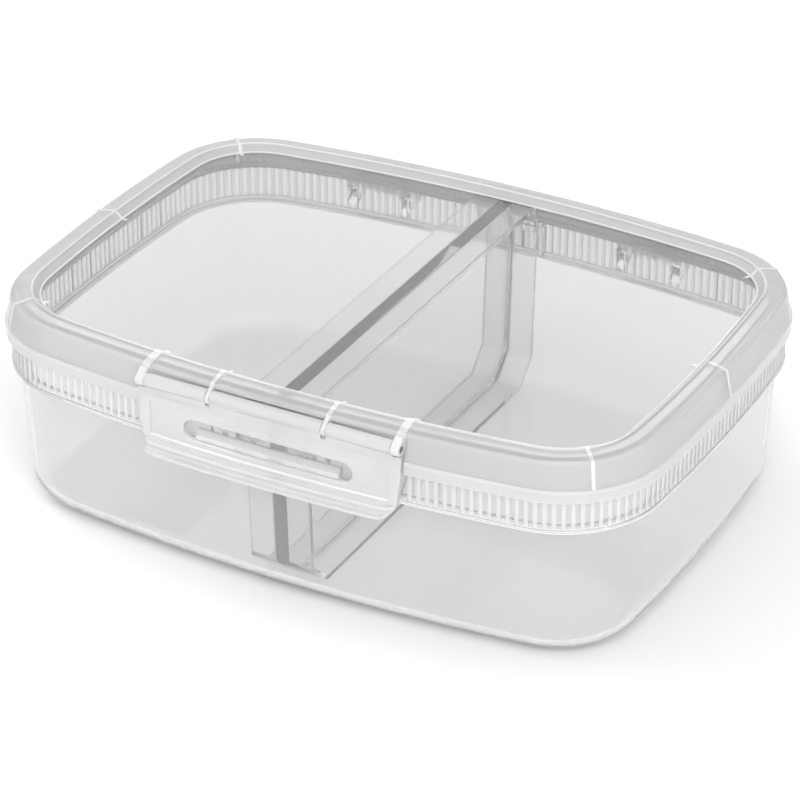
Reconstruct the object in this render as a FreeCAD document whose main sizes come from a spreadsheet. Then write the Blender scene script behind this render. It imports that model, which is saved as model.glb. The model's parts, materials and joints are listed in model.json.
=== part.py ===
import FreeCAD, Part
import math
import os
import re
import Sketcher
from FreeCAD import Vector

# Clear lunch box: tub, hinged lid, front clip on a rod, loose divider and two hinge pins.
# Millimetres, +Z up, origin at the middle of the base, front at -Y.

SIZES = {
    # outline at the crease of the lid, measured between the middles of opposite sides
    "rim_length": 200.0,
    "rim_width": 144.4,
    "corner_radius": 28.8,
    "long_side_radius": 565.0,
    "short_side_radius": 575.0,
    "strip_inset": 24.0,
    # tub
    "tub_wall": 1.6,
    "floor_thick": 1.8,
    "wall_draft": 2.7,
    "foot_inset": 3.6,
    "foot_radius": 9.5,
    "rim_height": 54.8,
    "collar_height": 12.8,
    "collar_out": 0.3,
    "bead_out": 0.4,
    "bead_height": 1.0,
    # lid
    "crease_rise": 8.6,
    "peak_rise": 1.2,
    "rim_flat": 6.0,
    "recess_depth": 2.2,
    "panel_thick": 1.5,
    "lid_wall": 1.6,
    "lid_gap": 0.4,
    "lip_wall": 1.3,
    "lip_lap": 2.8,
    "lip_height": 3.3,
    "lip_step": 0.4,
    "plug_gap": 0.8,
    "plug_wall": 1.4,
    "plug_lap": 0.8,
    "crease_radius": 1.6,
    "edge_radius": 0.5,
    # fins under the rim that also show as low ribs on top of it
    "fin_wall": 1.0,
    "fin_bite": 0.3,
    "fin_gap": 0.6,
    "fin_proud": 0.25,
    "fin_tail": 1.8,
    "fin_angle": 48.0,
    # front clip, its rod, and the lugs that carry the rod
    "clip_width": 80.4,
    "clip_side_gap": 0.4,
    "clip_gap": 0.4,
    "clip_wall": 1.8,
    "clip_overhang": 2.5,
    "clip_taper": 1.6,
    "clip_corner": 4.0,
    "clip_axis_out": 1.0,
    "clip_axis_drop": 3.5,
    "barrel_radius": 2.0,
    "barrel_gap": 0.4,
    "rod_radius": 1.0,
    "lug_spacing": 35.4,
    "lug_wall": 1.2,
    "lug_gap": 0.3,
    "lug_reach": 3.3,
    "end_lug_wall": 2.4,
    "notch_roof": 1.1,
    "window_length": 52.0,
    "window_height": 6.0,
    "window_drop": 11.3,
    "finger_length": 70.0,
    "finger_reach": 4.0,
    "finger_thick": 3.0,
    "finger_slope": 2.4,
    "catch_gap": 0.6,
    "catch_height": 2.6,
    "catch_side_gap": 4.0,
    "catch_out": 2.2,
    "catch_ramp": 1.4,
    # rear hinges
    "hinge_spacing": 90.0,
    "hinge_out": 5.0,
    "hinge_drop": 5.3,
    "knuckle_length": 14.0,
    "knuckle_radius": 2.8,
    "bracket_wall": 3.2,
    "bracket_gap": 0.3,
    "bracket_root": 5.0,
    "bracket_top": 1.4,
    "arm_top_angle": 37.0,
    "arm_low_angle": 212.0,
    "pin_radius": 1.2,
    # fits of a pin in the part that holds it and in the part that turns on it
    "hold_gap": 0.02,
    "run_gap": 0.06,
    # divider and the ribs that guide it
    "divider_flange": 19.0,
    "divider_web": 4.0,
    "divider_wall": 1.6,
    "divider_gap": 0.4,
    "divider_corner": 7.6,
    "divider_lid_gap": 0.5,
    "shoulder_gap": 0.9,
    "guide_gap": 0.6,
    "guide_wall": 1.2,
    "guide_depth": 2.9,
}

doc = FreeCAD.newDocument("lunch_box")
sheet = doc.addObject("Spreadsheet::Sheet", "sizes")
for row, (alias, number) in enumerate(SIZES.items(), start=1):
    sheet.set(f"A{row}", alias)
    sheet.set(f"B{row}", str(number))
    sheet.setAlias(f"B{row}", alias)
doc.recompute()


def cells(text):
    """Turn bare size names into references to the sheet."""
    return re.sub(r"[a-z_]{3,}", lambda m: f"sizes.{m[0]}" if m[0] in SIZES else m[0], str(text))


def value(text):
    return float(sheet.evalExpression(cells(text)))


# Heights and positions shared between the pieces.
HALF_LENGTH = "rim_length / 2"
HALF_WIDTH = "rim_width / 2"
COLLAR_BOTTOM = "(rim_height - collar_height)"
COLLAR_IN = "(collar_out - tub_wall)"
CREASE = "(rim_height + crease_rise)"
PEAK = f"({CREASE} + peak_rise)"
PANEL_TOP = f"({PEAK} - recess_depth)"
PANEL_UNDER = f"({PANEL_TOP} - panel_thick)"
LIP_BOTTOM = "(rim_height - lip_lap)"
LIP_TOP = f"({LIP_BOTTOM} + lip_height)"
LIP_IN = "(collar_out + lid_gap)"
LIP_OUT = f"({LIP_IN} + lip_wall)"
PLUG_OUT = f"({COLLAR_IN} - plug_gap)"
PLUG_IN = f"({PLUG_OUT} - plug_wall)"
PLUG_BOTTOM = "(rim_height - plug_lap)"
CLIP_Y = f"-({HALF_WIDTH} + clip_axis_out)"
CLIP_Z = f"({CREASE} - clip_axis_drop)"
CLIP_IN = "(collar_out + bead_out + clip_gap)"
CLIP_OUT = f"({CLIP_IN} + clip_wall)"
CLIP_BOTTOM = f"({COLLAR_BOTTOM} - clip_overhang)"
NOTCH_HALF = "(clip_width / 2 + clip_side_gap)"
END_LUG = "(clip_width - end_lug_wall)"
WINDOW_Z = f"({CLIP_Z} - window_drop)"
CATCH_BOTTOM = f"({WINDOW_Z} - window_height / 2 + catch_gap)"
HINGE_Y = f"({HALF_WIDTH} + hinge_out)"
HINGE_Z = "(rim_height - hinge_drop)"
SHOULDER = f"({PLUG_BOTTOM} - shoulder_gap)"

# Directions, in degrees round the clip rod, of the rounded corners of the lugs that carry it.
LUG_CORNERS = (155, 205, 255)


def wall_out(height):
    """Offset of the outside of the tub wall from the crease outline at a height."""
    return f"(({height}) * tan(wall_draft * 1 deg) - foot_inset)"


def wall_in(height):
    return f"({wall_out(height)} - tub_wall)"


def on_circle(x, y, radius, angle):
    """Point of a circle, in a direction given in degrees."""
    return f"{x} + {radius} * cos({angle} * 1 deg)", f"{y} + {radius} * sin({angle} * 1 deg)"


def corner_centre():
    """Centre of the corner arc that meets both bowed sides without a kink."""
    radius = value("corner_radius")
    long_reach = value("long_side_radius") - radius
    short_reach = value("short_side_radius") - radius
    long_shift = value(f"long_side_radius - {HALF_WIDTH}")
    short_shift = value(f"short_side_radius - {HALF_LENGTH}")
    base = (short_reach**2 - long_reach**2 - short_shift**2 + long_shift**2) / (2 * short_shift)
    slope = long_shift / short_shift
    square = slope**2 + 1
    linear = 2 * (base * slope + long_shift)
    rest = base**2 + long_shift**2 - long_reach**2
    y = (-linear + math.sqrt(linear**2 - 4 * square * rest)) / (2 * square)
    return base + slope * y, y


def new_body(label):
    body = doc.addObject("PartDesign::Body", f"{label}_body")
    body.Label = label
    return body


def new_sketch(body, name, role, offset="0"):
    """Empty sketch on one of the body's own planes, moved along the plane's normal."""
    sketch = body.newObject("Sketcher::SketchObject", f"{body.Label}_{name}")
    plane = next(f for f in body.Origin.OriginFeatures if f.Role == role)
    sketch.AttachmentSupport = [(plane, "")]
    sketch.MapMode = "FlatFace"
    sketch.setExpression("AttachmentOffset.Base.z", cells(offset))
    return sketch


def constrain(sketch, fixed, sized):
    """Add plain constraints, then sized ones bound to the sheet."""
    sketch.addConstraint(fixed)
    for kind, places, text in sized:
        index = sketch.addConstraint(Sketcher.Constraint(kind, *places, value(text)))
        sketch.setExpression(f"Constraints[{index}]", cells(text))


def place_point(geometry, point, x, y):
    """Sized constraints that hold one point at (x, y); a distance is kept positive."""
    fixed, sized = [], []
    for kind, axis, text in (("DistanceX", -2, x), ("DistanceY", -1, y)):
        number = value(text)
        if abs(number) < 1e-9:
            fixed.append(Sketcher.Constraint("PointOnObject", geometry, point, axis))
        elif number > 0:
            sized.append((kind, (-1, 1, geometry, point), text))
        else:
            sized.append((kind, (geometry, point, -1, 1), f"-({text})"))
    return fixed, sized


def outline_sketch(body, name, offset, height="0"):
    """Rounded outline with bowed sides, a set offset outside the crease outline."""
    sketch = new_sketch(body, name, "XY_Plane", height)
    grow = value(offset)
    corner = value("corner_radius") + grow
    long_side = value("long_side_radius") + grow
    short_side = value("short_side_radius") + grow
    long_shift = value(f"long_side_radius - {HALF_WIDTH}")
    short_shift = value(f"short_side_radius - {HALF_LENGTH}")
    x, y = corner_centre()
    low = math.atan2(y, x + short_shift)
    high = math.atan2(y + long_shift, x)
    turn = math.pi
    arcs = [
        (-short_shift, 0, short_side, 0, low),
        (x, y, corner, low, high),
        (0, -long_shift, long_side, high, turn - high),
        (-x, y, corner, turn - high, turn - low),
        (short_shift, 0, short_side, turn - low, turn + low),
        (-x, -y, corner, turn + low, turn + high),
        (0, long_shift, long_side, turn + high, 2 * turn - high),
        (x, -y, corner, -high, -low),
        (-short_shift, 0, short_side, -low, 0),
    ]
    circles = [Part.Circle(Vector(cx, cy, 0), Vector(0, 0, 1), r) for cx, cy, r, _, _ in arcs]
    sketch.addGeometry([Part.ArcOfCircle(c, a[3], a[4]) for c, a in zip(circles, arcs)], False)
    rule = Sketcher.Constraint
    fixed = [rule("Tangent", i, 2, i + 1, 1) for i in range(8)]
    fixed += [rule("Coincident", 8, 2, 0, 1), rule("Coincident", 8, 3, 0, 3)]
    fixed += [rule("PointOnObject", 0, 1, -1)]
    fixed += [rule("PointOnObject", i, 3, -1) for i in (0, 4)]
    fixed += [rule("PointOnObject", i, 3, -2) for i in (2, 6)]
    sized = [("Radius", (i,), f"corner_radius + ({offset})") for i in (1, 3, 5, 7)]
    sized += [("Radius", (i,), f"short_side_radius + ({offset})") for i in (0, 4)]
    sized += [("Radius", (i,), f"long_side_radius + ({offset})") for i in (2, 6)]
    sized += [("DistanceX", places, f"short_side_radius - {HALF_LENGTH}")
              for places in ((0, 3, -1, 1), (-1, 1, 4, 3))]
    sized += [("DistanceY", places, f"long_side_radius - {HALF_WIDTH}")
              for places in ((2, 3, -1, 1), (-1, 1, 6, 3))]
    constrain(sketch, fixed, sized)
    return sketch


def draw_polygon(sketch, points):
    """Closed polygon whose corners follow sizes of the sheet."""
    start = sketch.GeometryCount
    corners = [Vector(value(x), value(y), 0) for x, y in points]
    count = len(corners)
    lines = [Part.LineSegment(corners[i], corners[(i + 1) % count]) for i in range(count)]
    sketch.addGeometry(lines, False)
    fixed = [Sketcher.Constraint("Coincident", start + i, 2, start + (i + 1) % count, 1)
             for i in range(count)]
    sized = []
    for i, (x, y) in enumerate(points):
        on_axis, at_size = place_point(start + i, 1, x, y)
        fixed += on_axis
        sized += at_size
    constrain(sketch, fixed, sized)
    return sketch


def draw_circle(sketch, x, y, radius):
    start = sketch.GeometryCount
    centre = Vector(value(x), value(y), 0)
    sketch.addGeometry(Part.Circle(centre, Vector(0, 0, 1), value(radius)), False)
    fixed, sized = place_point(start, 3, x, y)
    constrain(sketch, fixed, sized + [("Radius", (start,), radius)])
    return sketch


def draw_slot(sketch, y, length, height):
    """Slot with round ends, lying along X and centred on the Y axis of the sketch."""
    half = value(f"({length} - {height}) / 2")
    radius = value(height) / 2
    level = value(y)
    turn = math.pi / 2
    ends = [Part.Circle(Vector(side * half, level, 0), Vector(0, 0, 1), radius) for side in (1, -1)]
    sketch.addGeometry([
        Part.ArcOfCircle(ends[0], -turn, turn),
        Part.LineSegment(Vector(half, level + radius, 0), Vector(-half, level + radius, 0)),
        Part.ArcOfCircle(ends[1], turn, 3 * turn),
        Part.LineSegment(Vector(-half, level - radius, 0), Vector(half, level - radius, 0)),
    ], False)
    rule = Sketcher.Constraint
    fixed = [rule("Tangent", i, 2, (i + 1) % 4, 1) for i in range(4)]
    fixed += [rule("Horizontal", 1)]
    sized = [
        ("Radius", (0,), f"{height} / 2"),
        ("DistanceX", (-1, 1, 0, 3), f"({length} - {height}) / 2"),
        ("DistanceX", (2, 3, -1, 1), f"({length} - {height}) / 2"),
        ("DistanceY", (-1, 1, 0, 3), y),
    ]
    constrain(sketch, fixed, sized)
    return sketch


def draw_front_band(sketch, inner, outer, half):
    """Strip that follows the bow of the front, between two offsets and X = -half to +half."""
    centre = Vector(0, value(f"long_side_radius - {HALF_WIDTH}"), 0)
    reach = value(half)
    arcs, ends = [], []
    for offset in (outer, inner):
        radius = value(f"long_side_radius + ({offset})")
        lean = math.asin(reach / radius)
        circle = Part.Circle(centre, Vector(0, 0, 1), radius)
        arcs.append(Part.ArcOfCircle(circle, -math.pi / 2 - lean, -math.pi / 2 + lean))
        depth = centre.y - radius * math.cos(lean)
        ends.append((Vector(-reach, depth, 0), Vector(reach, depth, 0)))
    right = Part.LineSegment(ends[0][1], ends[1][1])
    left = Part.LineSegment(ends[0][0], ends[1][0])
    sketch.addGeometry([arcs[0], right, arcs[1], left], False)
    rule = Sketcher.Constraint
    fixed = [rule("Coincident", 0, 2, 1, 1), rule("Coincident", 1, 2, 2, 2)]
    fixed += [rule("Coincident", 0, 1, 3, 1), rule("Coincident", 3, 2, 2, 1)]
    fixed += [rule("PointOnObject", i, 3, -2) for i in (0, 2)]
    fixed += [rule("Vertical", 1), rule("Vertical", 3)]
    sized = [
        ("Radius", (0,), f"long_side_radius + ({outer})"),
        ("Radius", (2,), f"long_side_radius + ({inner})"),
        ("DistanceY", (-1, 1, 0, 3), f"long_side_radius - {HALF_WIDTH}"),
        ("DistanceY", (-1, 1, 2, 3), f"long_side_radius - {HALF_WIDTH}"),
        ("DistanceX", (-1, 1, 1, 1), half),
        ("DistanceX", (3, 1, -1, 1), half),
    ]
    constrain(sketch, fixed, sized)
    return sketch


def add_feature(body, kind, name, sketch, length=None, reverse=False, both=False):
    """Pad or pocket of a sketch; without a length a pocket goes right through both ways."""
    feature = body.newObject(f"PartDesign::{kind}", f"{body.Label}_{name}")
    feature.Profile = sketch
    if length is None:
        feature.Type = "ThroughAll"
        feature.SideType = "Two sides"
        feature.Type2 = "ThroughAll"
    else:
        feature.setExpression("Length", cells(length))
        feature.Reversed = reverse
        feature.SideType = "Symmetric" if both else "One side"
    doc.recompute()
    return feature


def sweep(body, name, points):
    """Sweep a wall section, given as (offset, height), once round the crease outline."""
    spine = outline_sketch(body, f"{name}_path", "0")
    section = new_sketch(body, f"{name}_section", "XZ_Plane")
    draw_polygon(section, [(f"{HALF_LENGTH} + ({d})", z) for d, z in points])
    doc.recompute()
    pipe = body.newObject("PartDesign::AdditivePipe", f"{body.Label}_{name}")
    pipe.Profile = section
    pipe.Spine = (spine, [f"Edge{i + 1}" for i in range(spine.GeometryCount)])
    doc.recompute()
    return pipe


def dress_edges(body, kind, name, size, chosen):
    """Fillet or chamfer the edges of the body that a test picks."""
    edges = [f"Edge{i}" for i, edge in enumerate(body.Shape.Edges, start=1) if chosen(edge)]
    if not edges:
        raise RuntimeError(f"{body.Label}: no edge found for {name}")
    base = body.Tip
    feature = body.newObject(f"PartDesign::{kind}", f"{body.Label}_{name}")
    feature.Base = (base, edges)
    feature.setExpression("Radius" if kind == "Fillet" else "Size", cells(size))
    doc.recompute()
    return feature


def level_edges(height):
    """Test for edges that lie wholly at one height."""
    level = value(height)

    def lies_level(edge):
        box = edge.BoundBox
        return abs(box.ZMin - level) < 1e-4 and abs(box.ZMax - level) < 1e-4

    return lies_level


def cylinder_along_x(label, radius, length, x, y, z):
    """Straight pin along X, centred on x."""
    pin = doc.addObject("Part::Cylinder", f"{label}_pin")
    pin.Label = label
    pin.setExpression("Radius", cells(radius))
    pin.setExpression("Height", cells(length))
    pin.Placement = FreeCAD.Placement(Vector(0, 0, 0), FreeCAD.Rotation(Vector(0, 1, 0), 90))
    pin.setExpression("Placement.Base.x", cells(f"{x} - ({length}) / 2"))
    pin.setExpression("Placement.Base.y", cells(y))
    pin.setExpression("Placement.Base.z", cells(z))
    return pin


def build_tub():
    body = new_body("tub")
    ledge = f"{COLLAR_BOTTOM} + tub_wall"
    bead = "collar_out + bead_out"
    sweep(body, "wall", [
        ("-strip_inset", "0"),
        ("-foot_inset", "0"),
        (wall_out(COLLAR_BOTTOM), COLLAR_BOTTOM),
        (bead, COLLAR_BOTTOM),
        (bead, f"{COLLAR_BOTTOM} + bead_height"),
        ("collar_out", f"{COLLAR_BOTTOM} + bead_height + bead_out"),
        ("collar_out", "rim_height"),
        (COLLAR_IN, "rim_height"),
        (COLLAR_IN, ledge),
        (wall_in(ledge), ledge),
        (wall_in("floor_thick"), "floor_thick"),
        ("-strip_inset", "floor_thick"),
    ])
    floor = outline_sketch(body, "floor_outline", "-strip_inset")
    add_feature(body, "Pad", "floor", floor, "floor_thick")
    dress_edges(body, "Fillet", "foot", "foot_radius", level_edges("0"))
    dress_edges(body, "Fillet", "floor_round", "foot_radius - tub_wall", level_edges("floor_thick"))
    dress_edges(body, "Fillet", "rim_round", "edge_radius", level_edges("rim_height"))

    catch = new_sketch(body, "catch_outline", "XY_Plane", CATCH_BOTTOM)
    catch_half = "window_length / 2 - catch_side_gap"
    draw_front_band(catch, "collar_out - tub_wall / 2", "collar_out + catch_out", catch_half)
    add_feature(body, "Pad", "catch", catch, "catch_height")
    top_edge = level_edges(f"{CATCH_BOTTOM} + catch_height")
    front = -value(f"{HALF_WIDTH} + collar_out + catch_out")
    dress_edges(body, "Chamfer", "catch_ramp", "catch_ramp",
                lambda edge: top_edge(edge) and edge.BoundBox.YMin < front + 1e-3)

    guides = new_sketch(body, "guide_outline", "XY_Plane", f"{COLLAR_BOTTOM} + tub_wall / 2")
    near = "divider_flange / 2 + guide_gap"
    root = f"{HALF_WIDTH} + collar_out - tub_wall / 2"
    face = f"{HALF_WIDTH} + {COLLAR_IN} - guide_depth"
    for x_side in ("", "-"):
        for y_side in ("", "-"):
            draw_polygon(guides, [
                (f"{x_side}({near})", f"{y_side}({face})"),
                (f"{x_side}({near} + guide_wall)", f"{y_side}({face})"),
                (f"{x_side}({near} + guide_wall)", f"{y_side}({root})"),
                (f"{x_side}({near})", f"{y_side}({root})"),
            ])
    add_feature(body, "Pad", "guides", guides, f"{SHOULDER} - {COLLAR_BOTTOM} - tub_wall / 2")

    inner = "(knuckle_length / 2 + bracket_gap)"
    starts = [f"hinge_spacing / 2 + {inner}", f"hinge_spacing / 2 - {inner} - bracket_wall"]
    starts += [f"-({start}) - bracket_wall" for start in starts]
    band = f"{HALF_WIDTH} - 2 * tub_wall"
    for number, start in enumerate(starts, start=1):
        web = new_sketch(body, f"bracket_outline_{number}", "YZ_Plane", start)
        draw_polygon(web, [
            (band, f"{HINGE_Z} - bracket_root"),
            (HINGE_Y, f"{HINGE_Z} - knuckle_radius + edge_radius"),
            (HINGE_Y, f"{HINGE_Z} + knuckle_radius - edge_radius"),
            (band, f"{HINGE_Z} + bracket_top"),
        ])
        add_feature(body, "Pad", f"bracket_{number}", web, "bracket_wall")
        boss = new_sketch(body, f"boss_outline_{number}", "YZ_Plane", start)
        draw_circle(boss, HINGE_Y, HINGE_Z, "knuckle_radius")
        add_feature(body, "Pad", f"boss_{number}", boss, "bracket_wall")
    bore = new_sketch(body, "pin_bore_outline", "YZ_Plane")
    draw_circle(bore, HINGE_Y, HINGE_Z, "pin_radius + hold_gap")
    add_feature(body, "Pocket", "pin_bore", bore)
    return body


def rod_support(sketch):
    """Section of a lug that hangs from the rim and surrounds the clip rod."""
    points = [
        (f"{CLIP_Y} + lug_reach", f"{CREASE} - notch_roof / 2"),
        (f"{CLIP_Y} + clip_axis_out", f"{CREASE} - notch_roof / 2"),
    ]
    points += [on_circle(CLIP_Y, CLIP_Z, "barrel_radius", angle) for angle in LUG_CORNERS]
    points += [(f"{CLIP_Y} + lug_reach", f"{CLIP_Z} - barrel_radius")]
    return draw_polygon(sketch, points)


def build_lid():
    body = new_body("lid")
    corner_cut = "panel_thick * sqrt(2)"
    bend = f"(({corner_cut} - peak_rise - lid_wall - rim_flat) / (1 + peak_rise / rim_flat))"

    def rim_under(offset):
        """Height of the underside of the sloping rim top."""
        return f"({CREASE} - lid_wall - ({offset}) * peak_rise / rim_flat)"

    sweep(body, "rim", [
        ("-strip_inset", PANEL_TOP),
        ("-rim_flat - recess_depth", PANEL_TOP),
        ("-rim_flat", PEAK),
        ("0", CREASE),
        (f"{LIP_OUT} - lip_step", f"{LIP_TOP} + lip_step"),
        (LIP_OUT, LIP_TOP),
        (LIP_OUT, LIP_BOTTOM),
        (LIP_IN, LIP_BOTTOM),
        (LIP_IN, LIP_TOP),
        ("-lid_wall", f"{CREASE} - lid_wall"),
        (PLUG_OUT, rim_under(PLUG_OUT)),
        (PLUG_OUT, PLUG_BOTTOM),
        (PLUG_IN, PLUG_BOTTOM),
        (PLUG_IN, rim_under(PLUG_IN)),
        (bend, rim_under(bend)),
        (f"{corner_cut} - panel_thick - rim_flat - recess_depth", PANEL_UNDER),
        ("-strip_inset", PANEL_UNDER),
    ])
    panel = outline_sketch(body, "panel_outline", "-strip_inset", PANEL_UNDER)
    add_feature(body, "Pad", "panel", panel, "panel_thick")
    dress_edges(body, "Fillet", "crease_round", "crease_radius", level_edges(CREASE))
    dress_edges(body, "Fillet", "peak_round", "edge_radius", level_edges(PEAK))
    dress_edges(body, "Fillet", "lip_round", "edge_radius", level_edges(LIP_BOTTOM))

    def fin_section(reach):
        """Fin in the channel of the rim, standing a little proud of its top and outer face."""
        step = f"{LIP_OUT} - lip_step + fin_proud"
        points = [
            (f"{PLUG_OUT} - fin_bite", "rim_height + fin_gap"),
            (f"{LIP_IN} + fin_bite", "rim_height + fin_gap"),
            (step, f"{LIP_TOP} + lip_step"),
            ("fin_proud", f"{CREASE} + fin_proud"),
            ("-rim_flat", f"{PEAK} + fin_proud"),
            ("-rim_flat - recess_depth", f"{PANEL_TOP} + fin_proud"),
            ("-rim_flat - recess_depth - fin_tail", f"{PANEL_TOP} + fin_proud"),
            ("-rim_flat - recess_depth - fin_tail", f"{PANEL_TOP} - panel_thick / 2"),
            ("-rim_flat - recess_depth + panel_thick / 2", f"{PANEL_TOP} - panel_thick / 2"),
            (f"{PLUG_OUT} - fin_bite", f"{rim_under(PLUG_OUT)} + fin_bite"),
        ]
        return [(f"{reach} + ({d})", z) for d, z in points]

    x, y = corner_centre()
    lean = value("fin_angle")
    fins = [
        ("rear_right", x, y, lean, "corner_radius", "fin_wall"),
        ("rear_left", -x, y, 180 - lean, "corner_radius", "fin_wall"),
        ("front_left", -x, -y, 180 + lean, "corner_radius", "fin_wall"),
        ("front_right", x, -y, -lean, "corner_radius", "fin_wall"),
        ("right", 0, 0, 0, HALF_LENGTH, "fin_wall"),
        ("left", 0, 0, 180, HALF_LENGTH, "fin_wall"),
    ]
    bow_centre = value(f"long_side_radius - {HALF_WIDTH}")
    for name, spacing, wall in (("lug", "lug_spacing", "lug_wall"), ("end", END_LUG, "end_lug_wall")):
        turn = math.degrees(math.asin(value(f"{spacing} / 2 / long_side_radius")))
        fins.append((f"{name}_right", 0, bow_centre, turn - 90, "long_side_radius", wall))
        fins.append((f"{name}_left", 0, bow_centre, -turn - 90, "long_side_radius", wall))
    for name, px, py, angle, reach, wall in fins:
        fin = new_sketch(body, f"fin_outline_{name}", "XZ_Plane")
        turn = FreeCAD.Rotation(Vector(0, 1, 0), angle)
        fin.setExpression("AttachmentOffset.Base.z", None)
        fin.AttachmentOffset = FreeCAD.Placement(Vector(px, 0, -py), turn)
        draw_polygon(fin, fin_section(reach))
        add_feature(body, "Pad", f"fin_{name}", fin, wall, both=True)

    notch_back = f"{HALF_WIDTH} + clip_axis_out - barrel_radius - barrel_gap"
    notch = new_sketch(body, "notch_outline", "XZ_Plane", notch_back)
    draw_polygon(notch, [
        (f"-{NOTCH_HALF}", f"{LIP_BOTTOM} - lip_height"),
        (NOTCH_HALF, f"{LIP_BOTTOM} - lip_height"),
        (NOTCH_HALF, f"{CREASE} - notch_roof"),
        (f"-{NOTCH_HALF}", f"{CREASE} - notch_roof"),
    ])
    add_feature(body, "Pocket", "notch", notch, "strip_inset", reverse=True)

    supports = [
        ("lug_right", "lug_spacing / 2 - lug_wall / 2", "lug_wall"),
        ("lug_left", "-lug_spacing / 2 - lug_wall / 2", "lug_wall"),
        ("end_lug_right", f"{END_LUG} / 2 - end_lug_wall / 2", "end_lug_wall"),
        ("end_lug_left", f"-{END_LUG} / 2 - end_lug_wall / 2", "end_lug_wall"),
    ]
    for name, start, thick in supports:
        outline = rod_support(new_sketch(body, f"{name}_outline", "YZ_Plane", start))
        add_feature(body, "Pad", name, outline, thick)
    rod_bore = new_sketch(body, "rod_bore_outline", "YZ_Plane")
    draw_circle(rod_bore, CLIP_Y, CLIP_Z, "rod_radius + hold_gap")
    add_feature(body, "Pocket", "rod_bore", rod_bore)

    for side, sign in (("right", ""), ("left", "-")):
        start = f"{sign}hinge_spacing / 2 - knuckle_length / 2"
        arm = new_sketch(body, f"arm_outline_{side}", "YZ_Plane", start)
        draw_polygon(arm, [
            (HALF_WIDTH, f"{LIP_BOTTOM} + edge_radius"),
            (HALF_WIDTH, LIP_TOP),
            (f"{HINGE_Y} - knuckle_radius + edge_radius", LIP_TOP),
            on_circle(HINGE_Y, HINGE_Z, "knuckle_radius", "arm_top_angle"),
            (HINGE_Y, HINGE_Z),
            on_circle(HINGE_Y, HINGE_Z, "knuckle_radius", "arm_low_angle"),
        ])
        add_feature(body, "Pad", f"arm_{side}", arm, "knuckle_length")
        knuckle = new_sketch(body, f"knuckle_outline_{side}", "YZ_Plane", start)
        draw_circle(knuckle, HINGE_Y, HINGE_Z, "knuckle_radius")
        add_feature(body, "Pad", f"knuckle_{side}", knuckle, "knuckle_length")
    pin_bore = new_sketch(body, "pin_bore_outline", "YZ_Plane")
    draw_circle(pin_bore, HINGE_Y, HINGE_Z, "pin_radius + run_gap")
    add_feature(body, "Pocket", "pin_bore", pin_bore)
    return body


def build_clip():
    body = new_body("clip")
    plate = new_sketch(body, "plate_outline", "XY_Plane", CLIP_BOTTOM)
    draw_front_band(plate, CLIP_IN, CLIP_OUT, "clip_width / 2")
    add_feature(body, "Pad", "plate", plate, f"{CLIP_Z} - {CLIP_BOTTOM}")
    half = "clip_width / 2"
    sides = new_sketch(body, "side_outline", "XZ_Plane")
    for sign in ("", "-"):
        draw_polygon(sides, [
            (f"{sign}({half})", LIP_BOTTOM),
            (f"{sign}({half} - clip_taper)", CLIP_BOTTOM),
            (f"{sign}({half} - clip_taper)", f"{CLIP_BOTTOM} - clip_wall"),
            (f"{sign}({half} + clip_taper)", f"{CLIP_BOTTOM} - clip_wall"),
            (f"{sign}({half} + clip_taper)", LIP_BOTTOM),
        ])
    add_feature(body, "Pocket", "sides", sides)
    low_end = value(f"{half} - clip_taper")
    low = level_edges(CLIP_BOTTOM)
    dress_edges(body, "Fillet", "corners", "clip_corner",
                lambda edge: low(edge) and abs(edge.BoundBox.Center.x) > low_end - 1e-3)

    slot_half = "(lug_wall / 2 + lug_gap)"
    barrel_end = f"({END_LUG} / 2 - end_lug_wall / 2 - lug_gap)"
    slots = new_sketch(body, "lug_slot_outline", "XZ_Plane")
    slot_low = f"{CLIP_Z} - barrel_radius - 2 * lug_gap"
    slot_top = f"{CLIP_Z} + barrel_radius"
    for sign in ("", "-"):
        for near, far in ((f"lug_spacing / 2 - {slot_half}", f"lug_spacing / 2 + {slot_half}"),
                          (barrel_end, f"{half} + clip_taper")):
            draw_polygon(slots, [
                (f"{sign}({near})", slot_low),
                (f"{sign}({far})", slot_low),
                (f"{sign}({far})", slot_top),
                (f"{sign}({near})", slot_top),
            ])
    add_feature(body, "Pocket", "lug_slots", slots)

    side_length = f"{barrel_end} - lug_spacing / 2 - {slot_half}"
    barrels = [
        ("left", f"-{barrel_end}", side_length),
        ("middle", f"-lug_spacing / 2 + {slot_half}", f"lug_spacing - 2 * {slot_half}"),
        ("right", f"lug_spacing / 2 + {slot_half}", side_length),
    ]
    for name, start, length in barrels:
        ring = new_sketch(body, f"barrel_outline_{name}", "YZ_Plane", start)
        draw_circle(ring, CLIP_Y, CLIP_Z, "barrel_radius")
        add_feature(body, "Pad", f"barrel_{name}", ring, length)
    bore = new_sketch(body, "bore_outline", "YZ_Plane")
    draw_circle(bore, CLIP_Y, CLIP_Z, "rod_radius + run_gap")
    add_feature(body, "Pocket", "bore", bore)

    window = new_sketch(body, "window_outline", "XZ_Plane")
    draw_slot(window, WINDOW_Z, "window_length", "window_height")
    add_feature(body, "Pocket", "window", window)

    finger = new_sketch(body, "finger_outline", "XY_Plane", CLIP_BOTTOM)
    draw_front_band(finger, CLIP_IN, f"{CLIP_OUT} + finger_reach", "finger_length / 2")
    add_feature(body, "Pad", "finger", finger, "finger_thick")
    finger_top = level_edges(f"{CLIP_BOTTOM} + finger_thick")
    finger_front = -value(f"{HALF_WIDTH} + {CLIP_OUT} + finger_reach")
    dress_edges(body, "Chamfer", "finger_slope", "finger_slope",
                lambda edge: finger_top(edge) and edge.BoundBox.YMin < finger_front + 1e-3)
    return body


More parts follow.
